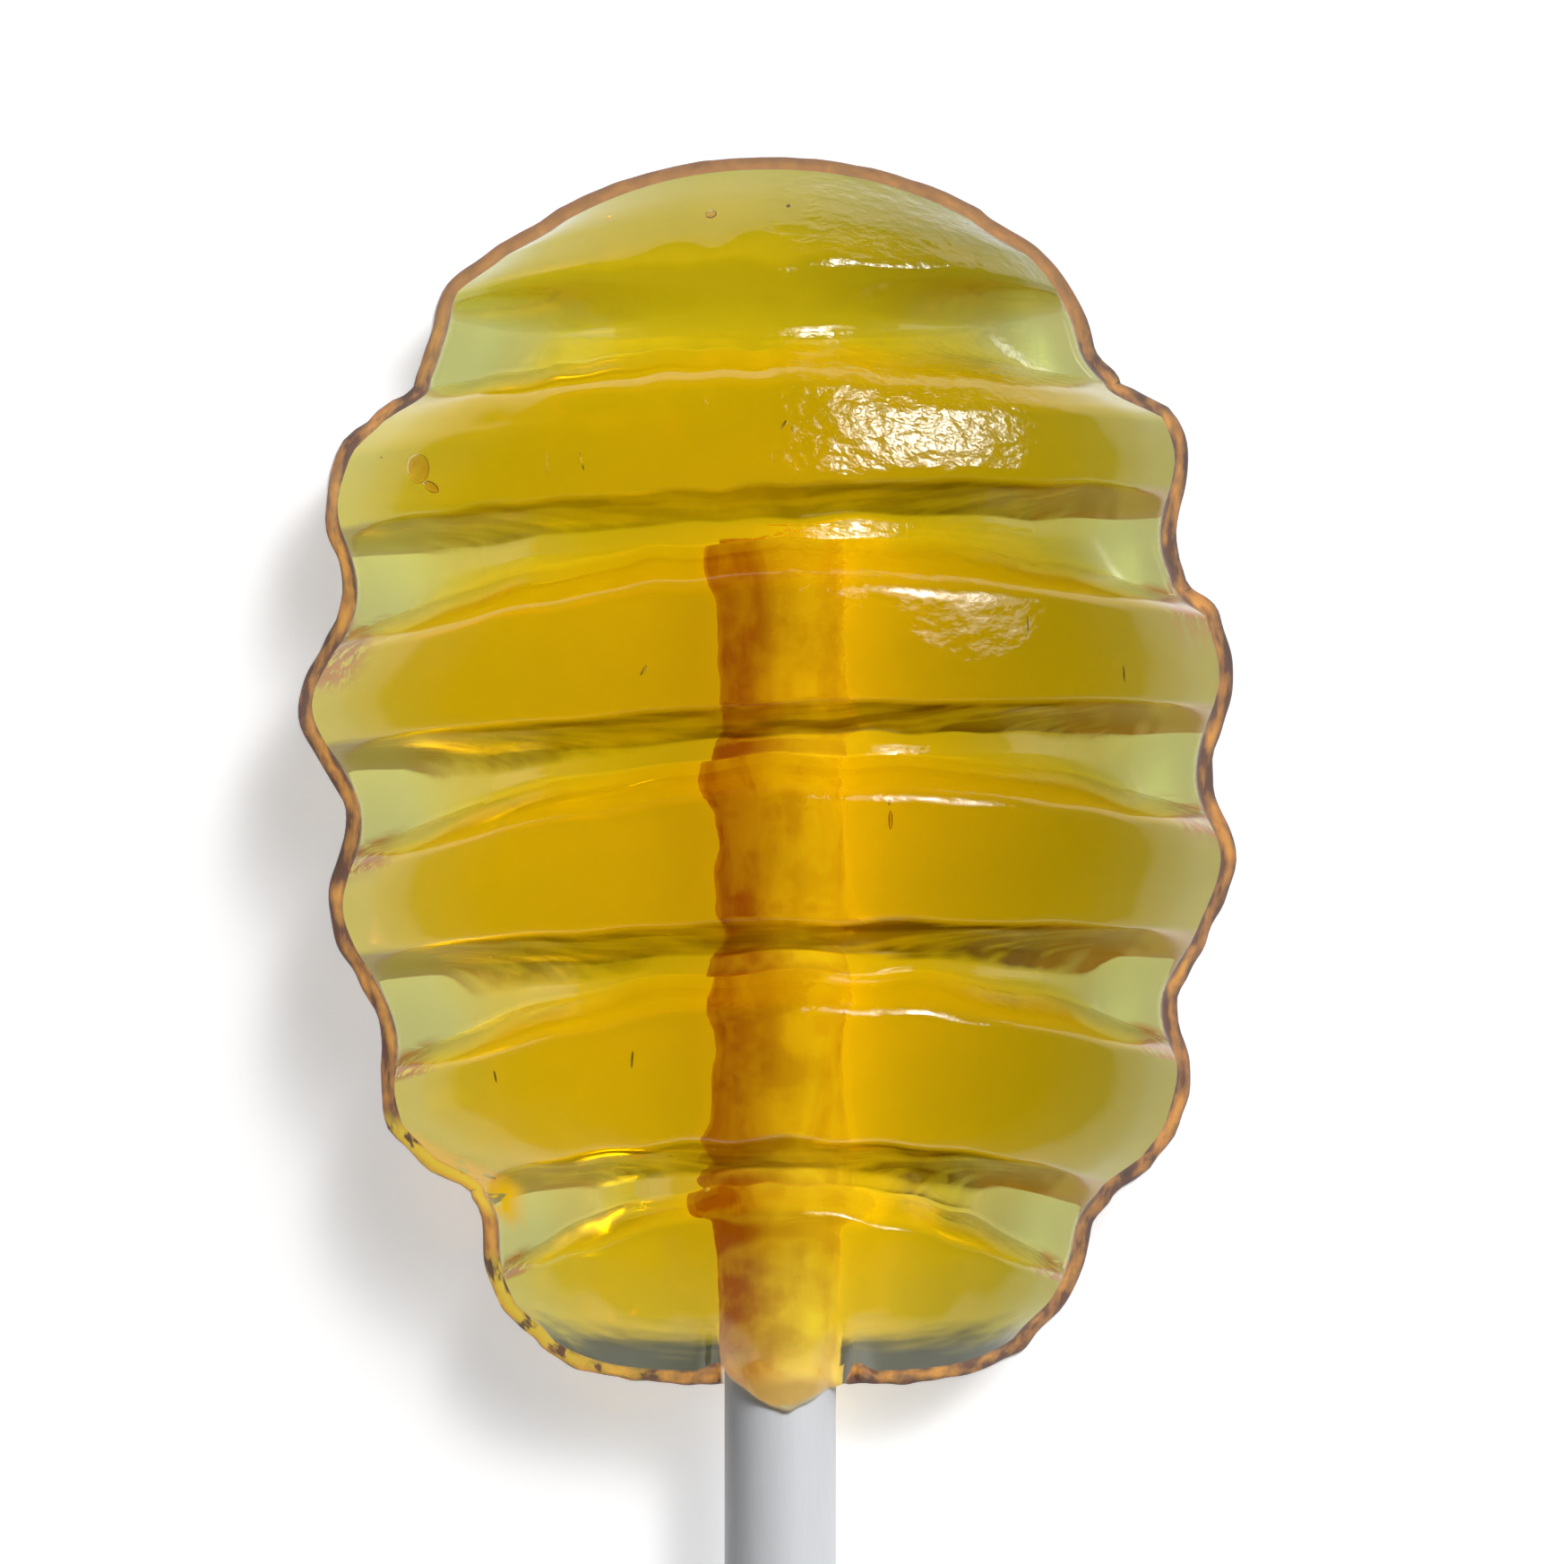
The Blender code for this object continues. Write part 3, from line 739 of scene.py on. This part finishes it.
def candy_material(settings):
    """Clear golden boiled sugar: white to light at its surface save for its painted light and shade, golden
    in its depth.
    """
    made, graph, surface = new_material(
        "clear_candy", CLEAR_HAZE, IOR=settings.refraction, Transmission_Weight=1.0, Specular_IOR_Level=0.5)
    place = graph.place()
    patches, blotches, drawn, strokes, mottles, folds = (
        grain(graph, place, *sizes) for sizes in CANDY_GRAINS.values())
    # Painted shade on the undersides that face the bottom, streaked and patchy, and rougher there as well
    facing = (0.14 * drawn + 0.10 * patches - graph.mark("lean") - 0.12).shown("underside_shade")
    underside_shade = facing * (0.70 + 0.30 * drawn.shown("streaks")) * patches.shown("patches")
    ends = graph.mark("underside_shade_ends").most(graph.mark("underside_shade_flare") * strokes.shown("flare"))
    underside_shade = underside_shade.most(facing.shown("ends") * ends) * graph.mark("underside_shade_limit")
    # Painted shade in a band along the bottom edge, laid on twice
    low_shade_band = (graph.mark("low") + 0.55 - 1.1 * drawn).between(0.0, 1.0)
    low_shade_tint = graph.mix(low_shade_band, WHITE, settings.low_color)
    feather = graph.mark("feather") * strokes.shown("feather")
    # Painted shade in darker lines along the rim's edges
    outline = graph.mark("outline") * blotches.shown("outline")
    # Painted gold light on the rim and in the notch
    gold = graph.mark("gold") * mottles.shown("gold") * (1 - outline)
    tone = graph.tint(graph.tint(graph.mark("tone", "Color"), low_shade_tint), low_shade_tint)
    # the undersides' painted shade
    tone = graph.mix(underside_shade * (1 - 0.7 * low_shade_band), tone, graph.mark("brown", "Color"))
    tone = graph.mix(feather, tone, settings.feather_color)
    tone = graph.mix(graph.mark("rim"), tone, rim_tone(graph, blotches, mottles, outline, settings))
    tone = graph.mix(gold, tone, settings.rim_gold_color)
    tone = graph.mix(graph.mark("front"), WHITE, tone)
    graph.feed(surface, {
        "Base Color": tone,
        "Roughness": graph.mark("haze") + UNDERSIDE_HAZE * underside_shade,
        "Normal": graph.bump(CRACKLE_DEPTH * folds * graph.mark("crackle"))})
    values = {"Color": settings.depth_color, "Density": settings.depth_density}
    depth = graph.node("ShaderNodeVolumeAbsorption", None, values)
    graph.feed(made.node_tree.nodes["Material Output"], {"Volume": depth})
    return made


def start_tree(name, inputs):
    """The graph of a geometry tree with these inputs of each type, and a wire from each of them."""
    tree = bpy.data.node_groups.new(name, "GeometryNodeTree")
    tree.interface.new_socket(name="Geometry", in_out="OUTPUT", socket_type="NodeSocketGeometry")
    for kind, names in inputs.items():
        for each in names:
            tree.interface.new_socket(name=each, in_out="INPUT", socket_type="NodeSocket" + kind)
    graph = Graph(tree)
    entry = tree.nodes.new("NodeGroupInput")
    return graph, {socket.name: Wire(graph, socket) for socket in entry.outputs if socket.name}


def finish_tree(graph, shape, material):
    """Makes the shape real, smooth and of its material, as the tree's result."""
    real = graph.node("GeometryNodeRealizeInstances", None, {"Geometry": shape})
    smooth = graph.node("GeometryNodeSetShadeSmooth", None, {"Geometry": real, "Shade Smooth": True})
    finished = graph.node("GeometryNodeSetMaterial", None, {"Geometry": smooth, "Material": material})
    graph.tree.links.new(finished.socket, graph.tree.nodes.new("NodeGroupOutput").inputs[0])
    return graph.tree


def from_seam(across, up, along):
    """How far a place is from the paper's spiral seam, in turns. along counts turns along the stick."""
    return ((along + up.angle_to(across) / (2 * math.pi)).fraction() - 0.5).size()


def stick_tree():
    """Geometry of the rolled paper stick: a lying rod with a spiral seam, swollen where candy soaks it."""
    graph, given = start_tree("paper_stick", {
        "Float": ("Radius", "Length", "Far End", "Axis X", "Axis Z", "Soaked From", "Swelling", "Seam Pitch",
                  "Seam Depth"),
        "Material": ("Material",)})
    around, along, in_ends = STICK_MESH
    rod = graph.node("GeometryNodeMeshCylinder", {"fill_type": "TRIANGLE_FAN"}, {
        "Vertices": around, "Side Segments": along, "Fill Segments": in_ends, "Radius": given["Radius"],
        "Depth": given["Length"]}, output="Mesh")
    middle = given["Far End"] + 0.5 * given["Length"]
    centre = graph.node("ShaderNodeCombineXYZ", None, {
        "X": given["Axis X"], "Y": middle, "Z": given["Axis Z"]})
    lying = graph.node("GeometryNodeTransform", None, {
        "Geometry": rod, "Translation": centre, "Rotation": (math.radians(-90), 0, 0)})
    place = graph.node("GeometryNodeInputPosition")
    x, y, z = graph.split(place)
    across, up = x - given["Axis X"], z - given["Axis Z"]
    soaked = y.between(given["Soaked From"], given["Soaked From"] + SOAKING * MM)
    slow, quick = (graph.cloud(place, size * MM, octaves) - 0.5 for size, octaves in SWELLS)
    swell = (slow + SHORT_SHARE * quick) * soaked * across.between(*SWELL_SIDE)
    groove = from_seam(across, up, y / given["Seam Pitch"]).between(*SEAM_GROOVE)
    amount = given["Swelling"] * swell - given["Seam Depth"] * groove * (1 - soaked)
    scale = amount / given["Radius"]
    offset = graph.node("ShaderNodeCombineXYZ", None, {"X": across * scale, "Z": up * scale})
    shaped = graph.node("GeometryNodeSetPosition", None, {"Geometry": lying, "Offset": offset})
    return finish_tree(graph, shaped, given["Material"])


def grown(name, tree, values, start_mesh=None):
    """A plain mesh object with the result of a geometry tree, given the values of its named inputs."""
    carrier = put(name + "_carrier", start_mesh or bpy.data.meshes.new(name + "_carrier"))
    modifier = carrier.modifiers.new(name, "NODES")
    modifier.node_group = tree
    for item in tree.interface.items_tree:
        if item.in_out == "INPUT" and item.name in values:
            modifier[item.identifier] = values[item.name]
    depsgraph = bpy.context.evaluated_depsgraph_get()
    mesh = bpy.data.meshes.new_from_object(carrier.evaluated_get(depsgraph))
    mesh.name = name
    if mesh.materials[0] is None:
        mesh.materials.pop(index=0)
    carrier.modifiers.remove(modifier)
    bpy.data.objects.remove(carrier)
    return put(name, mesh)


def flaw_tree():
    """Geometry of flaws: a small round body on every point, as wide, long and turned as the point says."""
    graph, given = start_tree("flaws", {
        "Geometry": ("Geometry",), "Int": ("Seed",), "Material": ("Material",)})
    size = graph.node("GeometryNodeInputNamedAttribute", {"data_type": "FLOAT_VECTOR"}, {"Name": "size"})
    turn = graph.node("GeometryNodeInputNamedAttribute", {"data_type": "FLOAT"}, {"Name": "turn"})
    uneven = graph.node("FunctionNodeRandomValue", {"data_type": "FLOAT"}, {
        2: 0.85, 3: 1.15, "Seed": given["Seed"]}, output=1)
    scale = graph.node("ShaderNodeVectorMath", {"operation": "SCALE"}, {"Vector": size, "Scale": uneven})
    angles = graph.node("ShaderNodeCombineXYZ", None, {"Z": turn})
    turned = graph.node("FunctionNodeEulerToRotation", None, {"Euler": angles})
    ball = graph.node("GeometryNodeMeshIcoSphere", None, {"Radius": 1.0, "Subdivisions": 4})
    placed = graph.node("GeometryNodeInstanceOnPoints", None, {
        "Points": given["Geometry"], "Instance": ball, "Rotation": turned, "Scale": scale})
    return finish_tree(graph, placed, given["Material"])


def build_flaws(name, flaws, settings, material):
    """Flaws of one kind, each set just under the front of the finished candy."""
    front = np.array([corner.co for corner in bpy.data.objects["candy"].data.vertices])
    places = []
    for u, v, *_ in flaws:
        x, y = MOULD_X + u * MM, MOULD_Y + v * MM
        near = front[np.argmin(np.hypot(front[:, 0] - x, front[:, 1] - y))]
        places.append((x, y, near[2] - settings.depth))
    points = bpy.data.meshes.new(name + "_points")
    points.from_pydata(places, [], [])
    sizes = [(width * MM, length * MM, min(width, FLAW_THICKNESS) * MM) for _, _, width, length, _ in flaws]
    size = points.attributes.new("size", "FLOAT_VECTOR", "POINT")
    size.data.foreach_set("vector", np.array(sizes).ravel())
    turn = points.attributes.new("turn", "FLOAT", "POINT")
    turn.data.foreach_set("value", np.radians([flaw[-1] for flaw in flaws]))
    return grown(name, flaw_tree(), {"Seed": settings.seed, "Material": material}, points)


def bubble_material(settings):
    """Air inside boiled sugar, seen as a fine ring."""
    made, graph, surface = new_material("air_bubble", 0.02, IOR=1 / 1.5, Transmission_Weight=1.0)
    haze = graph.cloud(graph.place(), 0.4 * MM, 2.0)
    graph.feed(surface, {"Base Color": graph.mix(haze, WHITE, settings.gold_color)})
    return made


def speck_material(settings):
    """Scorched sugar: dark brown or gold, with a painted glow as if catching the light."""
    made, graph, surface = new_material("speck", 0.4, IOR=1.5)
    kind = graph.cloud(graph.place(), 1.2 * MM, 1.0).between(0.42, 0.56)
    tone = graph.mix(kind, settings.speck_color, settings.gold_color)
    # Painted light: the specks glow in their own tone
    graph.feed(surface, {"Base Color": tone, "Emission Color": tone, "Emission Strength": settings.glow})
    return made


def paper_material(settings):
    """Rolled paper, white outside the candy and soaked golden inside it, with painted shade and a painted
    glow.
    """
    made, graph, surface = new_material("rolled_paper", 0.6, IOR=1.45, Specular_IOR_Level=0.4)
    place = graph.place()
    x, y, z = graph.split(place)
    across, v, up = (x - MOULD_X) / MM, (y - MOULD_Y) / MM, z / MM - STICK_AXIS_Z
    fibres, streaks, mottles = (grain(graph, place, *sizes) for sizes in PAPER_GRAINS.values())
    seam = from_seam(across, up, v / (settings.seam_pitch / MM)).shown("seam")
    # Painted shade on both sides of the dry stick, with its darker fibres and seam
    sides = across.shown("right shade") + across.shown("left shade")
    dry = graph.mix(0.2 * fibres + 0.35 * seam + sides, settings.paper_color, settings.paper_shade_color)
    deep = 0.5 * streaks.shown("soaked streaks") + 0.5 * mottles.shown("soaked mottles")
    # Soaked streaks and mottles, and rings of painted shade where the grooves cross
    bowed_v = v + RING_BOW * across * across + 0.5 * streaks
    for ring_v in RING_PLACES:
        deep = deep.most((bowed_v - ring_v).size().shown("ring"))
    # Painted shade on the left side of the buried stick
    dark = (across + 0.8 * streaks - 0.4).shown("buried left shade")
    wet = graph.mix(0.72 * dark + 0.40 * deep, settings.soaked_color, settings.soak_and_shade_color)
    wet = graph.mix((v + 0.7 * mottles).shown("milky end"), wet, settings.milky_color)
    milky_left, milky_v = MILKY_SPOT
    milky = (across + milky_left).size().shown("milky line")
    wet = graph.mix(milky * (v - milky_v).size().shown("milky reach"), wet, settings.milky_color)
    tip_start, tip_end, tip_v = LIP_TIP
    left_slope, right_slope = LIP_SLOPES
    edge_v = left_slope * (tip_start - across).most(0) + right_slope * (across - tip_end).most(0) + tip_v
    soaked = (v - edge_v + 0.2 * mottles - 0.1).shown("soaked")
    graph.feed(surface, {
        "Base Color": graph.mix(soaked, dry, wet),
        # Painted glow: the soaked paper gives off light of its own, for light shining through it
        "Emission Color": graph.mix(soaked, BLACK, graph.tint(wet, settings.glow_color)),
        "Emission Strength": settings.glow,
        "Roughness": 0.62 - 0.2 * soaked,
        "Normal": graph.bump(FIBRE_DEPTH * fibres)})
    return made


def build_stick(settings):
    made = grown("paper_stick", stick_tree(), {
        "Radius": STICK_RADIUS * MM, "Length": STICK_HIGH.y - STICK_LOW.y, "Far End": STICK_LOW.y,
        "Axis X": MOULD_X, "Axis Z": STICK_AXIS_Z * MM, "Soaked From": MOULD_Y + SOAKED_FROM * MM,
        "Swelling": settings.swelling, "Seam Pitch": settings.seam_pitch, "Seam Depth": settings.seam_depth,
        "Material": paper_material(settings)})
    made.data.set_sharp_from_angle(angle=math.radians(STICK_SHARP))
    return made


def lamp(name, direction, distance, size, power):
    """A soft light of this width and height, at this azimuth and elevation as seen from the head."""
    azimuth, elevation = (math.radians(angle) for angle in direction)
    level = math.cos(elevation)
    towards = Vector((level * math.cos(azimuth), level * math.sin(azimuth), math.sin(elevation)))
    light = bpy.data.lights.new(name, "AREA")
    light.shape = "ELLIPSE"
    light.size, light.size_y = size
    light.energy = power
    made = put(name, light)
    made.location = Vector((MOULD_X, MOULD_Y + HEAD_LENGTH / 2 * MM, 0)) + towards * distance
    made.rotation_euler = towards.to_track_quat("Z", "Y").to_euler()


def build_floor(settings):
    half = settings.floor_size / 2
    corners = [(-half, -half), (half, -half), (half, half), (-half, half)]
    mesh = bpy.data.meshes.new("floor")
    mesh.from_pydata([(x, y, -settings.floor_gap) for x, y in corners], [], [(0, 1, 2, 3)])
    made, graph, surface = new_material("pale_floor", 0.8)
    place = graph.place()
    patches = graph.cloud(place, 40 * MM, 2.0)
    x, y, _ = graph.split(place)
    x, y = x - MOULD_X, y - (MOULD_Y + HEAD_LENGTH / 2 * MM)
    away = (x * x + y * y) ** 0.5
    glow = away.between(settings.glow_near, settings.glow_far, settings.floor_glow, settings.far_glow)
    shade = [FLOOR_SHADE * part for part in settings.floor_color]
    tone = graph.mix(patches, settings.floor_color, shade)
    graph.feed(surface, {
        "Base Color": tone, "Emission Color": graph.mix(glow, BLACK, tone), "Emission Strength": 1.0})
    mesh.materials.append(made)
    return put("floor", mesh)


def build_camera(settings):
    data = bpy.data.cameras.new("camera")
    data.sensor_width = SENSOR
    data.lens = SENSOR * settings.camera_distance / (VIEW_WIDTH * MM)
    data.clip_start = 0.01
    camera = put("camera", data)
    camera.location = (MOULD_X + VIEW_CENTRE[0] * MM, MOULD_Y + VIEW_CENTRE[1] * MM, settings.camera_distance)
    bpy.context.scene.camera = camera


def build_sky(settings):
    world = bpy.data.worlds.new("studio")
    world.use_nodes = True
    graph = Graph(world.node_tree)
    direction = graph.node("ShaderNodeTexCoord", output="Generated")
    _, northward, upward = graph.split(direction)
    level = upward.between(settings.sky_low, settings.sky_high, settings.horizon, settings.surround)
    level = level * northward.between(*NORTH_FADE, 1.0, settings.north)
    graph.feed(world.node_tree.nodes["Background"], {"Color": WHITE, "Strength": level})
    bpy.context.scene.world = world


def number(name, description, default, **kind):
    return FloatProperty(name=name, description=description, default=default, **kind)


def length(name, description, default):
    return number(name, description, default, min=0.0, precision=5, subtype="DISTANCE", unit="LENGTH")


def color(name, description, default):
    return FloatVectorProperty(name=name, description=description, default=default, size=3, min=0.0, max=1.0,
                               subtype="COLOR")


class CandySettings(bpy.types.PropertyGroup):
    """Sizes and colours of the candy head, painted light and shade among them."""
    dome_height: length("Dome height", "Height of the front over its edge at the thickest place", 10.4 * MM)
    rim_width: length("Rim width", "How far the side wall slopes out to the back", 0.65 * MM)
    waver: length("Waver", "How far the grooves' lines stray from their curves", 0.12 * MM)
    wave_depth: length("Wave depth", "Depth of the front's long uneven waves", 0.05 * MM)
    pucker_depth: length("Pucker depth", "Depth of the front's short puckers", 0.016 * MM)
    sharp_angle: number("Sharp angle", "Edges steeper than this stay crisp, in degrees", 48.0)
    refraction: number("Refraction", "Index of refraction of boiled sugar", 1.5, min=1.0, max=2.0)
    depth_color: color("Depth colour", "Colour that light takes on inside", (0.997, 0.935, 0.0))
    depth_density: number("Depth density", "How fast it takes it on, per metre", 600.0, min=0.0)
    surface_color: color("Surface colour", "Tone of the ridges and the dome", (0.60, 0.68, 0.60))
    # painted light on the steps that lean towards the top
    step_light_color: color("Step colour", "Tone of the steps below the grooves", (0.90, 0.96, 0.85))
    ledge_color: color("Ledge colour", "Tone of the ledges at the groove ends", (0.66, 0.88, 1.0))
    end_color: color("End colour", "Greenish tint towards both sides", (0.86, 1.0, 0.95))
    # painted shade on the dome's steepest part
    top_shade_color: color("Top colour", "Tint of the steepest part of the dome", (0.66, 0.74, 0.40))
    # painted shade along the bottom edge
    low_color: color("Low edge colour", "Grey-green tint along the bottom edge", (0.08, 0.11, 0.20))
    # tip, slate and wedge colours are the painted shade at the undersides' ends
    tip_color: color("Tip colour", "Orange-brown right ends of the undersides", (0.13, 0.052, 0.005))
    feather_color: color("Feather colour", "Streaks at the ends of the steps", (0.34, 0.11, 0.03))
    slate_color: color("Slate colour", "Grey-brown left ends of the undersides", (0.13, 0.10, 0.075))
    wedge_color: color("Wedge colour", "Mauve corners between undersides and rim", (0.26, 0.17, 0.13))
    # painted shade of the undersides
    underside_shade_color: color("Underside colour", "Tone of the undersides", (0.038, 0.023, 0.007))
    rim_color: color("Rim colour", "Amber of the side wall", (0.40, 0.105, 0.008))
    rim_brown_color: color("Brown rim colour", "Between its amber and its blotches", (0.05, 0.009, 0.003))
    rim_dark_color: color("Dark rim colour", "Its dark blotches", (0.004, 0.001, 0.001))
    # painted gold light on the rim
    rim_gold_color: color("Gold rim colour", "Golden light at its lower left", (1.0, 0.62, 0.002))
    # painted glints on the rim
    rim_glint_color: color("Glint colour", "Its brightest orange streaks", (1.0, 0.28, 0.012))


class FlawSettings(bpy.types.PropertyGroup):
    """Small flaws in the candy."""
    depth: length("Depth", "How far the flaws lie under the front", 0.25 * MM)
    seed: IntProperty(name="Seed", description="Seed of their uneven sizes", default=4)
    speck_color: color("Speck colour", "Dark specks and scratches", (0.16, 0.07, 0.01))
    # gold colour and glow are painted light on the specks; the gold also tints the bubbles
    gold_color: color("Gold colour", "Specks and scratches that catch the light", (0.95, 0.60, 0.06))
    glow: number("Glow", "Light that the gold ones catch", 0.5, min=0.0)


class StickSettings(bpy.types.PropertyGroup):
    """Sizes and colours of the paper stick, its painted shade and glow among them."""
    swelling: length("Swelling", "How far soaked paper stands out inside the candy", 0.22 * MM)
    seam_pitch: length("Seam pitch", "Length of one turn of the paper's spiral seam", 38 * MM)
    seam_depth: length("Seam depth", "Depth of the spiral seam", 0.02 * MM)
    paper_color: color("Paper colour", "Dry white paper", (0.93, 0.95, 0.98))
    # painted shade on the stick's sides, and its darker fibres and seam
    paper_shade_color: color("Paper shade", "Its sides, fibres and seam", (0.62, 0.64, 0.67))
    soaked_color: color("Soaked colour", "Paper soaked with candy", (1.0, 0.86, 0.50))
    # both real soaking and painted shade
    soak_and_shade_color: color("Dark soaked colour", "Where most has soaked in", (0.38, 0.12, 0.02))
    milky_color: color("Milky colour", "Pale paper near the bottom edge", (0.43, 0.31, 0.20))
    # painted glow of the soaked paper
    glow_color: color("Glow colour", "Light shining through soaked paper", (1.0, 0.85, 0.3))
    glow: number("Glow", "Strength of the light that shines through soaked paper", 0.76, min=0.0)


class StageSettings(bpy.types.PropertyGroup):
    """Floor, light and camera."""
    floor_size: length("Floor size", "Width of the floor", 3.0)
    floor_gap: length("Floor gap", "Clearance under the candy's flat back", 0.05 * MM)
    floor_color: color("Floor colour", "Plain pale floor", (0.92, 0.92, 0.92))
    floor_glow: number("Floor glow", "Light that the floor gives off", 0.56)
    far_glow: number("Far glow", "Light that it gives off far from the head", 0.1)
    glow_near: length("Glow start", "Distance from the head where its light starts to fade", 45 * MM)
    glow_far: length("Glow end", "Distance from the head where its light has faded", 160 * MM)
    surround: number("Surround", "Strength of the soft light from above", 0.03)
    horizon: number("Horizon", "Strength of the soft light from all round", 0.25)
    north: number("North", "Share of it that comes from beyond the head's top", 0.2)
    sky_low: number("Horizon top", "Sine of the height where the horizon ends", 0.1)
    sky_high: number("Sky start", "Sine of the height where the sky starts", 0.5)
    key_power: number("Key light", "Light from the upper right", 5.0, subtype="POWER", unit="POWER")
    camera_distance: length("Camera distance", "Height of the camera over the floor", 0.45)


class OBJECT_OT_lollipop_candy(bpy.types.Operator):
    """Build the clear candy head"""
    bl_idname = "object.lollipop_candy"
    bl_label = "Candy head"

    def execute(self, context):
        settings = context.scene.lollipop_candy
        head = build_head(settings)
        head.data.materials.append(candy_material(settings))
        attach(head, "root")
        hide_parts("candy_head")
        return {"FINISHED"}


class OBJECT_OT_lollipop_stick(bpy.types.Operator):
    """Build the rolled paper stick"""
    bl_idname = "object.lollipop_stick"
    bl_label = "Paper stick"

    def execute(self, context):
        stick = build_stick(context.scene.lollipop_stick)
        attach(stick, "root")
        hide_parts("stick")
        return {"FINISHED"}


class OBJECT_OT_lollipop_stage(bpy.types.Operator):
    """Set the floor, the lights and the camera"""
    bl_idname = "object.lollipop_stage"
    bl_label = "Stage"

    def execute(self, context):
        settings = context.scene.lollipop_stage
        build_floor(settings)
        build_sky(settings)
        for distance, share, size in KEY_LAYERS:
            lamp("key", KEY_DIRECTION, distance, size, share * settings.key_power)
        build_camera(settings)
        context.scene.view_settings.view_transform = "Standard"
        return {"FINISHED"}


class OBJECT_OT_lollipop_flaws(bpy.types.Operator):
    """Set the small bubbles, specks and scratches into the candy, under its front"""
    bl_idname = "object.lollipop_flaws"
    bl_label = "Bubbles and specks"

    def execute(self, context):
        settings = context.scene.lollipop_flaws
        for name, flaws, look in (("bubbles", BUBBLES, bubble_material), ("specks", SPECKS, speck_material)):
            piece = build_flaws(name, flaws, settings, look(settings))
            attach(piece, "root")
        return {"FINISHED"}


class VIEW3D_PT_lollipop(bpy.types.Panel):
    """Lists the lollipop's pieces and their settings"""
    bl_label = "Honey lollipop"
    bl_space_type = "VIEW_3D"
    bl_region_type = "UI"
    bl_category = "Lollipop"

    def draw(self, context):
        for operator, settings in PIECES:
            box = self.layout.box()
            box.operator(operator)
            group = getattr(context.scene, settings)
            for name in group.__annotations__:
                box.prop(group, name)


PIECES = [
    ("object.lollipop_candy", "lollipop_candy"),
    ("object.lollipop_flaws", "lollipop_flaws"),
    ("object.lollipop_stick", "lollipop_stick"),
    ("object.lollipop_stage", "lollipop_stage")]
GROUPS = {"lollipop_candy": CandySettings, "lollipop_flaws": FlawSettings, "lollipop_stick": StickSettings,
          "lollipop_stage": StageSettings}
CLASSES = (*GROUPS.values(), OBJECT_OT_lollipop_candy, OBJECT_OT_lollipop_flaws, OBJECT_OT_lollipop_stick,
           OBJECT_OT_lollipop_stage, VIEW3D_PT_lollipop)


def register():
    for each in CLASSES:
        bpy.utils.register_class(each)
    for name, group in GROUPS.items():
        setattr(bpy.types.Scene, name, PointerProperty(type=group))


def unregister():
    for name in GROUPS:
        delattr(bpy.types.Scene, name)
    for each in reversed(CLASSES):
        bpy.utils.unregister_class(each)


def main():
    register()
    bpy.ops.object.lollipop_candy()
    bpy.ops.object.lollipop_flaws()
    bpy.ops.object.lollipop_stick()
    bpy.ops.object.lollipop_stage()


if __name__ == "__main__":
    main()
